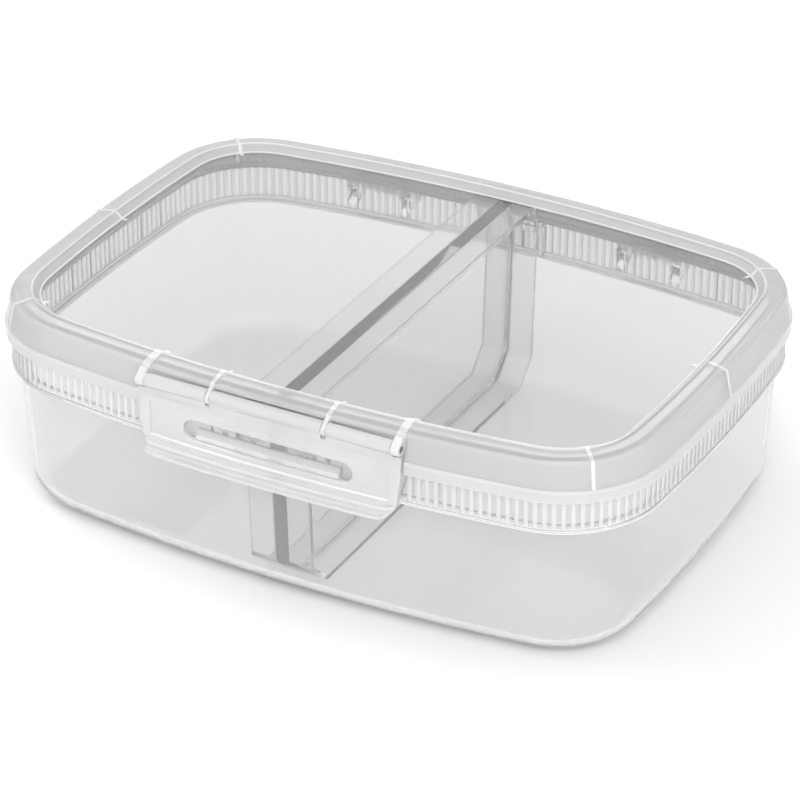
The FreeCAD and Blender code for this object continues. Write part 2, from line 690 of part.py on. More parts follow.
def build_divider():
    body = new_body("divider")
    top = f"({PANEL_UNDER} - divider_lid_gap)"
    reach = f"{HALF_WIDTH} + {PLUG_IN} - plug_gap"

    def half_outline(inset):
        """Corners from the floor up to the top at the rear, moved inwards by an inset."""
        foot = f"floor_thick + ({inset})"
        cut = f"(divider_corner - (2 - sqrt(2)) * ({inset}))"

        def wall(height):
            return f"{HALF_WIDTH} + {wall_in(height)} - divider_gap - ({inset})"

        return [
            (f"{wall(foot)} - {cut}", foot),
            (wall(f"{foot} + {cut}"), f"{foot} + {cut}"),
            (wall(SHOULDER), f"{SHOULDER} - ({inset})"),
            (f"{reach} - ({inset})", f"{SHOULDER} - ({inset})"),
            (f"{reach} - ({inset})", f"{top} - ({inset})"),
        ]

    def whole_outline(sketch, inset):
        rear = half_outline(inset)
        front = [(f"-({y})", z) for y, z in reversed(rear)]
        return draw_polygon(sketch, rear + front)

    block = whole_outline(new_sketch(body, "block_outline", "YZ_Plane"), "0")
    add_feature(body, "Pad", "block", block, "divider_flange", both=True)
    depth = "(divider_flange - divider_web) / 2"
    for side, sign in (("right", ""), ("left", "-")):
        face = new_sketch(body, f"{side}_outline", "YZ_Plane", f"{sign}divider_flange / 2")
        whole_outline(face, "divider_wall")
        add_feature(body, "Pocket", side, face, depth, reverse=bool(sign))
    return body


pin_length = "knuckle_length + 2 * (bracket_gap + bracket_wall)"
rod_length = "clip_width"
pieces = [build_tub(), build_lid(), build_clip(), build_divider()]
pieces.append(cylinder_along_x("clip_rod", "rod_radius", rod_length, "0", CLIP_Y, CLIP_Z))
for side, sign in (("left", "-"), ("right", "")):
    centre = f"{sign}hinge_spacing / 2"
    label = f"hinge_pin_{side}"
    pieces.append(cylinder_along_x(label, "pin_radius", pin_length, centre, HINGE_Y, HINGE_Z))
doc.recompute()

for item in doc.Objects:
    if "Invalid" in item.State or "Error" in item.State:
        raise RuntimeError(f"{item.Label} did not recompute: {item.State}")
os.makedirs("parts", exist_ok=True)
for piece in pieces:
    shape = piece.Shape
    if shape.isNull() or not shape.isValid():
        raise RuntimeError(f"{piece.Label} has no valid shape")
    if len(shape.Solids) != 1:
        raise RuntimeError(f"{piece.Label} has {len(shape.Solids)} solids")
    shape.exportStep(f"parts/{piece.Label}.step")
    print(piece.Label, round(shape.Volume), "mm3", len(shape.Faces), "faces", shape.BoundBox)
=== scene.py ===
import json
import math

import bmesh
import bpy
from bpy.props import FloatProperty, FloatVectorProperty, IntProperty, PointerProperty
from bpy.types import Operator, Panel, PropertyGroup
from mathutils import Matrix, Vector


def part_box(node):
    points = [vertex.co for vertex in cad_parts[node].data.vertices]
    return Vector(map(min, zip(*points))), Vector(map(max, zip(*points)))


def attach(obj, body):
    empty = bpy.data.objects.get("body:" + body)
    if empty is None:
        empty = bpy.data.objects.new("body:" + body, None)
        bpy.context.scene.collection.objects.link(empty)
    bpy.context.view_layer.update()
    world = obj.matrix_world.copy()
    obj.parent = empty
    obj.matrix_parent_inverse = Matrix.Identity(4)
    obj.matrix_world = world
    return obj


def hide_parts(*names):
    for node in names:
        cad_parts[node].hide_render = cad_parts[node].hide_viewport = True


bl_info = {
    "name": "Clear Lunch Box",
    "version": (1, 0, 0),
    "blender": (4, 5, 0),
    "location": "3D View > Sidebar > Lunch Box",
    "description": "Dresses the lunch box: moulded shells, clip, divider, collar flutes, plastics and stage",
    "category": "Add Mesh",
}

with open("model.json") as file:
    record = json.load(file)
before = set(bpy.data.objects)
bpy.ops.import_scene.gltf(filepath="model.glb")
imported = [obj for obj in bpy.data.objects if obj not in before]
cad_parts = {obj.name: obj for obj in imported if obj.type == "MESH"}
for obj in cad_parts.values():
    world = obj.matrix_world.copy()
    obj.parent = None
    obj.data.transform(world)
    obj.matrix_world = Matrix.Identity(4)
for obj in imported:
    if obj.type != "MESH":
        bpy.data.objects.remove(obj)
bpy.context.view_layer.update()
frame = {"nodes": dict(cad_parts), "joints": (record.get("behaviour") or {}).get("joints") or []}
JOINT_PLACES = {joint["name"]: Vector(joint["pos_m"]) for joint in frame["joints"]}
HINGE_AXIS = JOINT_PLACES["lid_hinge"]
CLIP_AXIS = JOINT_PLACES["clip_pivot"]
RIM_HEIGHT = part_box("tub")[1].z

MM = 0.001
SIDE_STEPS = 32
END_STEPS = 24
CORNER_STEPS = 18
ROUND_STEPS = 6
CIRCLE_STEPS = 32
FRONT_STEPS = 40
SMOOTH_ANGLE = math.radians(32)
EDGE_WIDTH = 0.3 * MM
EDGE_BEND = math.radians(5)
SHARP_BEND = math.radians(60)
MERGE_GAP = 1e-7
FLAT_FACE = 0.999
LUG_CORNERS = (155, 180, 205, 230, 255)
LUG_FRONT = 1.0 * MM
RIDGE_RISE = 0.7
RIDGE_LEAN = 0.25
FLUTE_SIDES = 12
PLASTIC_IOR = 1.46
FLOW_SCALE = 45
FLOW_DETAIL = 3
WAVE_STRENGTH = 0.1
WAVE_DEPTH = 0.3 * MM
GLOSS_BLUR = 0.03
RIM_BLUR = 0.16


def size(label, about, millimetres):
    """Length property in metres whose default is given in millimetres."""
    return FloatProperty(name=label, description=about, default=millimetres * MM, unit="LENGTH",
                         subtype="DISTANCE", precision=5)


def angle(label, about, degrees):
    return FloatProperty(name=label, description=about, default=math.radians(degrees), subtype="ANGLE")


class OutlineSizes(PropertyGroup):
    """Plan of the box at the crease of the lid: bowed sides joined by round corners."""
    length: size("Length", "Between the middles of the two ends", 200.0)
    width: size("Width", "Between the middles of front and back", 144.4)
    corner: size("Corner radius", "Radius of the corners", 28.8)
    long_bow: size("Front bow", "Radius of the bowed front and back", 565.0)
    end_bow: size("End bow", "Radius of the bowed ends", 575.0)
    cap_inset: size("Flat inset", "How far inside the outline the flat middles begin", 24.0)


class TubSizes(PropertyGroup):
    """Open tub with a stepped-out collar, guide ribs for the divider, a catch and hinge brackets."""
    wall: size("Wall", "Thickness of the walls", 1.6)
    floor: size("Floor", "Thickness of the floor", 1.8)
    foot_inset: size("Foot inset", "How far the wall's foot lies inside the outline", 3.6)
    foot_round: size("Foot round", "Radius between floor and wall", 9.5)
    draft: angle("Draft", "Lean of the walls", 2.7)
    collar: size("Collar height", "Height of the fluted collar", 12.8)
    collar_out: size("Collar step", "Collar face outside the outline", 0.3)
    bead_out: size("Bead", "How far the bead stands out of the collar", 0.4)
    bead_height: size("Bead height", "Straight height of the bead", 1.0)
    bead_round: size("Bead round", "Radius above the bead", 0.2)
    edge: size("Edge round", "Radius of the small edges", 0.45)
    catch_gap: size("Catch gap", "Catch above the lower edge of the clip's window", 0.6)
    catch_height: size("Catch height", "Height of the catch", 2.6)
    catch_half: size("Catch half", "Half of the catch's length", 22.0)
    catch_out: size("Catch reach", "How far the catch stands out of the collar", 2.2)
    catch_ramp: size("Catch ramp", "Slope on top of the catch", 1.4)
    guide_wall: size("Guide rib", "Thickness of a guide rib", 1.2)
    guide_depth: size("Guide depth", "How far a guide rib stands in", 2.9)
    guide_gap: size("Guide gap", "Gap between divider and guide rib", 0.6)
    bracket_wall: size("Bracket", "Thickness of a hinge bracket", 3.2)
    bracket_gap: size("Bracket gap", "Gap between bracket and knuckle", 0.3)
    bracket_root: size("Bracket root", "Bracket below the hinge axis at the wall", 5.0)
    bracket_top: size("Bracket top", "Bracket above the hinge axis at the wall", 1.4)


class LidSizes(PropertyGroup):
    """Lid with a raised rim round a flat panel, an outer lip and an inner plug."""
    crease_rise: size("Crease", "Crease above the tub's rim", 8.6)
    peak_rise: size("Peak", "Peak of the rim above the crease", 1.2)
    rim_flat: size("Rim", "Width of the sloping rim top", 6.0)
    recess: size("Recess", "Depth of the panel below the peak", 2.2)
    panel: size("Panel", "Thickness of the panel", 1.5)
    wall: size("Wall", "Thickness of the rim", 1.6)
    gap: size("Lip gap", "Gap between collar and lip", 0.4)
    lip_wall: size("Lip wall", "Thickness of the lip", 1.3)
    lip_lap: size("Lip lap", "How far the lip hangs below the tub's rim", 2.8)
    lip_height: size("Lip height", "Height of the lip", 3.3)
    lip_step: size("Lip step", "Small step above the lip", 0.4)
    step_round: size("Step round", "Radius of the step above the lip", 0.2)
    plug_gap: size("Plug gap", "Gap between collar and plug", 0.8)
    plug_wall: size("Plug wall", "Thickness of the plug", 1.4)
    plug_lap: size("Plug lap", "How far the plug hangs below the tub's rim", 0.8)
    crease_round: size("Crease round", "Radius of the crease", 1.6)
    peak_round: size("Peak round", "Radius of the peak", 0.7)
    edge: size("Edge round", "Radius of the small edges", 0.4)
    fin_wall: size("Fin", "Thickness of the fins under the rim", 1.0)
    fin_proud: size("Fin rise", "How far the fins stand out of the rim", 0.06)
    fin_bite: size("Fin root", "How far the fins run into the walls beside them", 0.3)
    fin_gap: size("Fin gap", "Gap between the tub's rim and the fins", 0.6)
    fin_tail: size("Fin tail", "How far the fins run on to the panel", 1.8)
    fin_angle: angle("Fin angle", "Direction of the corner fins", 48.0)


class HingeSizes(PropertyGroup):
    """Two hinges at the back, each a knuckle of the lid between two brackets of the tub."""
    spacing: size("Spacing", "Between the middles of the hinges", 90.0)
    knuckle: size("Knuckle length", "Length of a knuckle", 14.0)
    radius: size("Knuckle radius", "Radius of the knuckles and bosses", 2.8)
    pin: size("Pin radius", "Radius of the hinge pins", 1.2)
    run_gap: size("Running gap", "Radial gap of a turning fit", 0.06)
    arm_top: angle("Arm top", "Direction in which the arm leaves the knuckle on top", 37.0)
    arm_low: angle("Arm bottom", "Direction in which the arm leaves the knuckle below", 212.0)
    edge: size("Edge round", "Radius of the small edges", 0.3)


class ClipSizes(PropertyGroup):
    """Front clip that swings on a rod under the lid's rim."""
    width: size("Width", "Width at the barrels", 80.4)
    side_gap: size("Side gap", "Gap beside the clip in the lid's notch", 0.4)
    inner: size("Inner face", "Inner face outside the outline", 1.1)
    wall: size("Wall", "Thickness of the plate", 1.8)
    bottom: size("Bottom", "Height of the lower edge", 39.5)
    taper: size("Taper", "How much narrower each side is at the bottom", 1.6)
    taper_top: size("Taper start", "Height where the sides begin to taper", 52.0)
    corner: size("Corner", "Radius of the lower corners", 4.0)
    barrel: size("Barrel radius", "Radius of the barrels", 2.0)
    barrel_gap: size("Barrel gap", "Gap round the barrels", 0.15)
    rod: size("Rod radius", "Radius of the clip's rod", 1.0)
    lug_spacing: size("Lug spacing", "Between the two inner lugs", 35.4)
    lug_wall: size("Lug", "Thickness of the inner lugs", 1.2)
    lug_gap: size("Lug gap", "Gap between lugs and barrels", 0.15)
    lug_reach: size("Lug reach", "How far the lugs run back under the rim", 3.3)
    end_lug: size("End lug", "Thickness of the end lugs", 2.4)
    notch_roof: size("Notch roof", "Thickness of the rim left over the clip", 1.1)
    window: size("Window length", "Length of the window", 52.0)
    window_height: size("Window height", "Height of the window", 6.0)
    window_drop: size("Window drop", "Middle of the window below the rod", 11.3)
    window_lead: size("Window edge", "Chamfer round the window", 0.5)
    recess: size("Recess", "Depth of the field round the window", 0.35)
    recess_height: size("Recess height", "Height of the field round the window", 10.4)
    recess_side: size("Recess side", "Clip left beside the field round the window", 3.6)
    ridges: IntProperty(name="Ridges", description="Ridges of the finger lip", default=3, min=1)
    finger_reach: size("Finger reach", "How far the finger lip stands out", 4.0)
    finger_thick: size("Finger thickness", "Height of the finger lip at its root", 3.0)
    edge: size("Edge round", "Radius of the small edges", 0.4)


class DividerSizes(PropertyGroup):
    """Loose divider: a web with flanges round its edge."""
    flange: size("Flange", "Width over the flanges", 19.0)
    web: size("Web", "Thickness of the web", 4.0)
    wall: size("Wall", "Thickness of the flanges", 1.6)
    gap: size("Gap", "Gap to the tub's wall", 0.4)
    corner: size("Corner cut", "Slanted corner over the tub's rounded foot", 7.6)
    lid_gap: size("Lid gap", "Gap below the lid's panel", 0.5)
    foot_gap: size("Foot gap", "Gap between the divider and the tub's floor", 0.2)
    shoulder_gap: size("Shoulder gap", "Gap below the lid's plug", 0.9)
    edge: size("Edge round", "Radius of the small edges", 0.35)


class FluteSizes(PropertyGroup):
    """Fine upright flutes round the collar."""
    pitch: size("Pitch", "From one flute to the next", 2.5)
    width: size("Width", "Width of a flute", 1.25)
    depth: size("Depth", "How far a flute stands out", 0.22)


def tint(label, about, colour):
    return FloatVectorProperty(name=label, description=about, size=3, subtype="COLOR", default=colour,
                               min=0, max=1)


def share(label, about, value):
    return FloatProperty(name=label, description=about, default=value, min=0, max=1, subtype="FACTOR")


class LookSettings(PropertyGroup):
    """Tint and haze of the same clear plastic in each region of the box. The rim's darker grey tint is
    painted shade. The hazier, whiter plastic of rounded edges, fins and lugs paints highlights along them.
    """
    wall_tint: tint("Wall tint", "Tint of the tub", (0.97, 0.972, 0.972))
    wall_haze: share("Wall haze", "Share of light that the tub scatters", 0.13)
    collar_tint: tint("Collar tint", "Tint of the tub's collar", (0.97, 0.972, 0.972))
    collar_haze: share("Collar haze", "Share of light that the tub's collar scatters", 0.22)
    divider_tint: tint("Divider tint", "Tint of the divider", (0.97, 0.972, 0.972))
    divider_haze: share("Divider haze", "Share of light that the divider scatters", 0.08)
    panel_tint: tint("Panel tint", "Tint of the lid's flat panel", (0.98, 0.982, 0.982))
    panel_haze: share("Panel haze", "Share of light that the lid's panel scatters", 0.02)
    # The rim's grey tint is darker than the rest of the plastic: painted shade on the lid's rim.
    rim_tint: tint("Rim tint", "Tint of the lid's rim", (0.77, 0.772, 0.772))
    rim_haze: share("Rim haze", "Share of light that the lid's rim scatters", 0.43)
    clip_tint: tint("Clip tint", "Tint of the clip", (0.95, 0.952, 0.952))
    clip_haze: share("Clip haze", "Share of light that the clip scatters", 0.42)
    # Edge plastic: hazier and whiter than the rest, it paints highlights along rounded edges, fins and lugs.
    edge_tint: tint("Edge tint", "Tint of the rounded edges", (0.98, 0.98, 0.98))
    edge_haze: share("Edge haze", "Share of light that the rounded edges scatter", 0.52)


class LunchBoxSettings(PropertyGroup):
    outline: PointerProperty(type=OutlineSizes)
    tub: PointerProperty(type=TubSizes)
    lid: PointerProperty(type=LidSizes)
    hinge: PointerProperty(type=HingeSizes)
    clip: PointerProperty(type=ClipSizes)
    divider: PointerProperty(type=DividerSizes)
    flutes: PointerProperty(type=FluteSizes)
    look: PointerProperty(type=LookSettings)


def corner_centre(plan):
    """Centre of the corner arc that meets both bowed sides without a kink."""
    long_reach = plan.long_bow - plan.corner
    end_reach = plan.end_bow - plan.corner
    long_shift = plan.long_bow - plan.width / 2
    end_shift = plan.end_bow - plan.length / 2
    base = (end_reach**2 - long_reach**2 - end_shift**2 + long_shift**2) / (2 * end_shift)
    slope = long_shift / end_shift
    square = slope**2 + 1
    linear = 2 * (base * slope + long_shift)
    rest = base**2 + long_shift**2 - long_reach**2
    y = (-linear + math.sqrt(linear**2 - 4 * square * rest)) / (2 * square)
    return base + slope * y, y


def outline_ring(plan, offset, height):
    """Points once round the plan, a set offset outside the crease."""
    x, y = corner_centre(plan)
    long_shift = plan.long_bow - plan.width / 2
    end_shift = plan.end_bow - plan.length / 2
    low = math.atan2(y, x + end_shift)
    high = math.atan2(y + long_shift, x)
    turn = math.pi
    arcs = [
        (-end_shift, 0, plan.end_bow, -low, low, END_STEPS),
        (x, y, plan.corner, low, high, CORNER_STEPS),
        (0, -long_shift, plan.long_bow, high, turn - high, SIDE_STEPS),
        (-x, y, plan.corner, turn - high, turn - low, CORNER_STEPS),
        (end_shift, 0, plan.end_bow, turn - low, turn + low, END_STEPS),
        (-x, -y, plan.corner, turn + low, turn + high, CORNER_STEPS),
        (0, long_shift, plan.long_bow, turn + high, 2 * turn - high, SIDE_STEPS),
        (x, -y, plan.corner, -high, -low, CORNER_STEPS),
    ]
    points = []
    for cx, cy, radius, start, stop, steps in arcs:
        reach = radius + offset
        for step in range(steps):
            bearing = start + (stop - start) * step / steps
            points.append(Vector((cx + reach * math.cos(bearing), cy + reach * math.sin(bearing), height)))
    return points


def front_y(plan, offset, x):
    """Depth of the bowed front at a distance x from the middle."""
    reach = plan.long_bow + offset
    return plan.long_bow - plan.width / 2 - math.sqrt(reach**2 - x**2)


def rounded(corners, closed=False):
    """Points of a polyline in which each (x, y, radius) corner becomes an arc."""
    count = len(corners)
    points = []
    for index, (x, y, radius) in enumerate(corners):
        here = Vector((x, y))
        if radius == 0 or (not closed and index in (0, count - 1)):
            points.append(here)
            continue
        before = (Vector(corners[index - 1][:2]) - here).normalized()
        after = (Vector(corners[(index + 1) % count][:2]) - here).normalized()
        half = before.angle(after) / 2
        reach = radius / math.tan(half)
        centre = here + (before + after).normalized() * radius / math.sin(half)
        start = here + before * reach - centre
        stop = here + after * reach - centre
        sweep = start.angle_signed(stop)
        steps = max(2, round(ROUND_STEPS * abs(sweep) / (math.pi / 2)))
        for step in range(steps + 1):
            points.append(centre + Matrix.Rotation(-sweep * step / steps, 2) @ start)
    return points


def link_mesh(name, form):
    """Object from a bmesh, with doubles merged and faces pointing outwards."""
    bmesh.ops.remove_doubles(form, verts=form.verts, dist=MERGE_GAP)
    bmesh.ops.recalc_face_normals(form, faces=form.faces)
    mesh = bpy.data.meshes.new(name)
    form.to_mesh(mesh)
    form.free()
    piece = bpy.data.objects.new(name, mesh)
    bpy.context.scene.collection.objects.link(piece)
    return piece


def skin(name, rows, bevel=0):
    """Closed solid through rows of points, each row a closed loop, with a flat cap at both ends."""
    form = bmesh.new()
    loops = [[form.verts.new(point) for point in row] for row in rows]
    count = len(loops[0])
    for low, high in zip(loops, loops[1:]):
        for i in range(count):
            j = (i + 1) % count
            form.faces.new((low[i], low[j], high[j], high[i]))
    form.faces.new(loops[0])
    form.faces.new(reversed(loops[-1]))
    if bevel:
        bmesh.ops.bevel(form, geom=form.edges[:], offset=bevel, segments=2, profile=0.5, affect="EDGES",
                        clamp_overlap=True)
    return link_mesh(name, form)


def loft(name, plan, section):
    """Closed shell from a wall section of (offset, height) points round the plan."""
    return skin(name, [outline_ring(plan, offset, height) for offset, height in section])


def slab(name, polygon, thick, bearing=0, middle=(0, 0), bevel=0):
    """Flat plate: a polygon of (reach, height) points in an upright plane, thickened to both sides."""
    along = Vector((math.cos(bearing), math.sin(bearing), 0))
    across = Vector((-math.sin(bearing), math.cos(bearing), 0))
    foot = Vector((*middle, 0))
    rows = []
    for side in (-0.5, 0.5):
        rows.append([foot + along * u + across * thick * side + Vector((0, 0, v)) for u, v in polygon])
    return skin(name, rows, bevel)


def slab_across(name, polygon, low, high, bevel=0):
    """Plate whose polygon of (y, z) points runs from one X to another."""
    return slab(name, polygon, high - low, math.pi / 2, ((low + high) / 2, 0), bevel)


def on_circle(centre, radius, bearing):
    """Point (y, z) of a circle about an axis along X."""
    return centre.y + radius * math.cos(bearing), centre.z + radius * math.sin(bearing)


def rod_along(name, centre, radius, low, high):
    """Round bar along X about a centre given in Y and Z."""
    turn = 2 * math.pi / CIRCLE_STEPS
    circle = [on_circle(centre, radius, i * turn) for i in range(CIRCLE_STEPS)]
    return slab_across(name, circle, low, high)


def front_sweep(name, plan, section, low, high):
    """Solid along the bowed front: section(x) gives closed loops of (offset, height) points."""
    rows = []
    for step in range(FRONT_STEPS + 1):
        x = low + (high - low) * step / FRONT_STEPS
        rows.append([Vector((x, front_y(plan, offset, x), height)) for offset, height in section(x)])
    return skin(name, rows)


def front_slot(name, plan, depths, height, length, tall):
    """Cutter for a slot in the front: stadium outlines grown by an edge, one per (offset, growth)."""
    rows = []
    turn = 2 * math.pi / CIRCLE_STEPS
    for offset, growth in depths:
        radius = tall / 2 + growth
        row = []
        for i in range(CIRCLE_STEPS):
            side = 1 if math.cos((i + 0.5) * turn) > 0 else -1
            bearing = (i + 0.5) * turn
            x = side * (length - tall) / 2 + radius * math.cos(bearing)
            row.append(Vector((x, front_y(plan, offset, x), height + radius * math.sin(bearing))))
        rows.append(row)
    return skin(name, rows)


def paint(piece, material):
    """Give a whole piece one plastic."""
    piece.data.materials.clear()
    piece.data.materials.append(material)


def combine(piece, tools, operation):
    """Join tools to a piece or cut them out of it, and delete them; unpainted tools take its plastic."""
    for tool in tools:
        if not tool.data.materials:
            paint(tool, piece.data.materials[0])
        step = piece.modifiers.new(tool.name, "BOOLEAN")
        step.operation = operation
        step.solver = "MANIFOLD"
        step.material_mode = "TRANSFER"
        step.object = tool
    bake(piece)
    for tool in tools:
        bpy.data.objects.remove(tool)
    return piece


def bake(piece):
    """Replace a piece's mesh by the result of its modifiers."""
    graph = bpy.context.evaluated_depsgraph_get()
    mesh = bpy.data.meshes.new_from_object(piece.evaluated_get(graph))
    piece.modifiers.clear()
    old = piece.data
    piece.data = mesh
    mesh.name = piece.name
    bpy.data.meshes.remove(old)


def material_index(mesh, material):
    """Place of a plastic among a mesh's materials, added where it is missing."""
    if material.name not in mesh.materials:
        mesh.materials.append(material)
    return mesh.materials.find(material.name)


def mark_rows(shell, section, material, chosen):
    """Give the faces of a loft between chosen points of its section their own plastic."""
    index = material_index(shell.data, material)
    ring, left = divmod(len(shell.data.vertices), len(section))
    if left:
        raise RuntimeError("merged points in " + shell.name)
    for face in shell.data.polygons:
        if all(chosen(section[vertex // ring]) for vertex in face.vertices):
            face.material_index = index


def paint_edge_highlights(mesh, material):
    """Give the narrow faces of rounded edges a hazier, whiter plastic, whose white lines along the edges are
    painted highlights.
    """
    index = material_index(mesh, material)
    form = bmesh.new()
    form.from_mesh(mesh)
    for face in form.faces:
        width = 2 * face.calc_area() / face.calc_perimeter()
        bends = [edge.calc_face_angle(0) for edge in face.edges]
        if width < EDGE_WIDTH and any(EDGE_BEND < bend < SHARP_BEND for bend in bends):
            face.material_index = index
    form.to_mesh(mesh)
    form.free()


def finish_piece(piece, body, look, node):
    mesh = piece.data
    mesh.shade_smooth()
    mesh.set_sharp_from_angle(angle=SMOOTH_ANGLE)
    # Narrow faces of rounded edges take the edge plastic: painted highlights.
    paint_edge_highlights(mesh, plastic(look, "edge"))
    weigh = piece.modifiers.new("flat_faces", "WEIGHTED_NORMAL")
    weigh.keep_sharp = True
    bake(piece)
    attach(piece, body)
    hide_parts(node)


def wall_out(tub, height):
    """Offset of the outside of the tub's wall at a height."""
    return height * math.tan(tub.draft) - tub.foot_inset


def window_height(clip):
    return CLIP_AXIS.z - clip.window_drop


def pin_bore(hinge):
    """Cutter for the bores of both hinge pins."""
    return rod_along("pin_bore", HINGE_AXIS, hinge.pin + hinge.run_gap, -hinge.spacing, hinge.spacing)


def lid_levels(settings):
    """Heights and offsets of the lid's section."""
    lid, tub = settings.lid, settings.tub
    crease = RIM_HEIGHT + lid.crease_rise
    peak = crease + lid.peak_rise
    lip_low = RIM_HEIGHT - lid.lip_lap
    lip_in = tub.collar_out + lid.gap
    plug_out = tub.collar_out - tub.wall - lid.plug_gap
    return {
        "crease": crease,
        "peak": peak,
        "panel_top": peak - lid.recess,
        "panel_under": peak - lid.recess - lid.panel,
        "lip_low": lip_low,
        "lip_top": lip_low + lid.lip_height,
        "lip_in": lip_in,
        "lip_out": lip_in + lid.lip_wall,
        "plug_out": plug_out,
        "plug_in": plug_out - lid.plug_wall,
        "plug_low": RIM_HEIGHT - lid.plug_lap,
    }


def rim_under(settings, offset):
    """Height of the underside of the sloping rim top."""
    lid = settings.lid
    return RIM_HEIGHT + lid.crease_rise - lid.wall - offset * lid.peak_rise / lid.rim_flat


class LUNCHBOX_OT_tub(Operator):
    """Build the tub: shell, catch, guide ribs and hinge brackets"""
    bl_idname = "lunchbox.tub"
    bl_label = "Tub"

    def execute(self, context):
        settings = context.scene.lunch_box
        plan, tub = settings.outline, settings.tub
        low = RIM_HEIGHT - tub.collar
        ledge = low + tub.wall
        bead = tub.collar_out + tub.bead_out
        inside = tub.collar_out - tub.wall
        section = rounded([
            (-plan.cap_inset, 0, 0),
            (-tub.foot_inset, 0, tub.foot_round),
            (wall_out(tub, low), low, tub.edge),
            (bead, low, tub.edge),
            (bead, low + tub.bead_height, tub.bead_round),
            (tub.collar_out, low + tub.bead_height + tub.bead_out, tub.bead_round),
            (tub.collar_out, RIM_HEIGHT, tub.edge),
            (inside, RIM_HEIGHT, tub.edge),
            (inside, ledge, tub.edge),
            (wall_out(tub, ledge) - tub.wall, ledge, tub.edge),
            (wall_out(tub, tub.floor) - tub.wall, tub.floor, tub.foot_round - tub.wall),
            (-plan.cap_inset, tub.floor, 0),
        ])
        shell = loft("tub_shell", plan, section)
        paint(shell, plastic(settings.look, "wall"))
        mark_rows(shell, section, plastic(settings.look, "collar"), lambda point: point.y > low - EDGE_WIDTH)
        tools = [self.catch(settings)] + self.guides(settings) + self.brackets(settings)
        combine(shell, tools, "UNION")
        combine(shell, [pin_bore(settings.hinge)], "DIFFERENCE")
        finish_piece(shell, "tub", settings.look, "tub")
        return {"FINISHED"}

    def catch(self, settings):
        plan, tub, clip = settings.outline, settings.tub, settings.clip
        low = window_height(clip) - clip.window_height / 2 + tub.catch_gap
        top = low + tub.catch_height
        root = tub.collar_out - tub.wall / 2
        tip = tub.collar_out + tub.catch_out
        section = rounded([
            (root, low, 0),
            (tip, low, tub.bead_round),
            (tip, top - tub.catch_ramp, tub.bead_round),
            (tip - tub.catch_ramp, top, tub.bead_round),
            (root, top, 0),
        ])
        catch = front_sweep("catch", plan, lambda x: section, -tub.catch_half, tub.catch_half)
        paint(catch, plastic(settings.look, "clip"))
        return catch

    def guides(self, settings):
        plan, tub, lid, divider = settings.outline, settings.tub, settings.lid, settings.divider
        low = RIM_HEIGHT - tub.collar + tub.wall / 2
        high = RIM_HEIGHT - lid.plug_lap - divider.shoulder_gap
        root = plan.width / 2 + tub.collar_out - tub.wall / 2
        face = plan.width / 2 + tub.collar_out - tub.wall - tub.guide_depth
        near = divider.flange / 2 + tub.guide_gap
        ribs = []
        for x_side in (-1, 1):
            for y_side in (-1, 1):
                polygon = [(face, low), (root, low), (root, high), (face, high)]
                middle = (x_side * (near + tub.guide_wall / 2), 0)
                bearing = y_side * math.pi / 2
                ribs.append(slab("guide", polygon, tub.guide_wall, bearing, middle, tub.bead_round))
        return ribs

    def brackets(self, settings):
        plan, tub, hinge = settings.outline, settings.tub, settings.hinge
        root = plan.width / 2 - 2 * tub.wall
        round_edge = hinge.radius - hinge.edge
        polygon = [
            (root, HINGE_AXIS.z - tub.bracket_root),
            (HINGE_AXIS.y, HINGE_AXIS.z - round_edge),
            (HINGE_AXIS.y, HINGE_AXIS.z + round_edge),
            (root, HINGE_AXIS.z + tub.bracket_top),
        ]
        inner = hinge.knuckle / 2 + tub.bracket_gap
        plates = []
        for side in (-1, 1):
            for start in (inner, -inner - tub.bracket_wall):
                low = side * hinge.spacing / 2 + start
                high = low + tub.bracket_wall
                plates.append(slab_across("bracket", polygon, low, high, hinge.edge))
                plates.append(rod_along("boss", HINGE_AXIS, hinge.radius, low, high))
        return plates


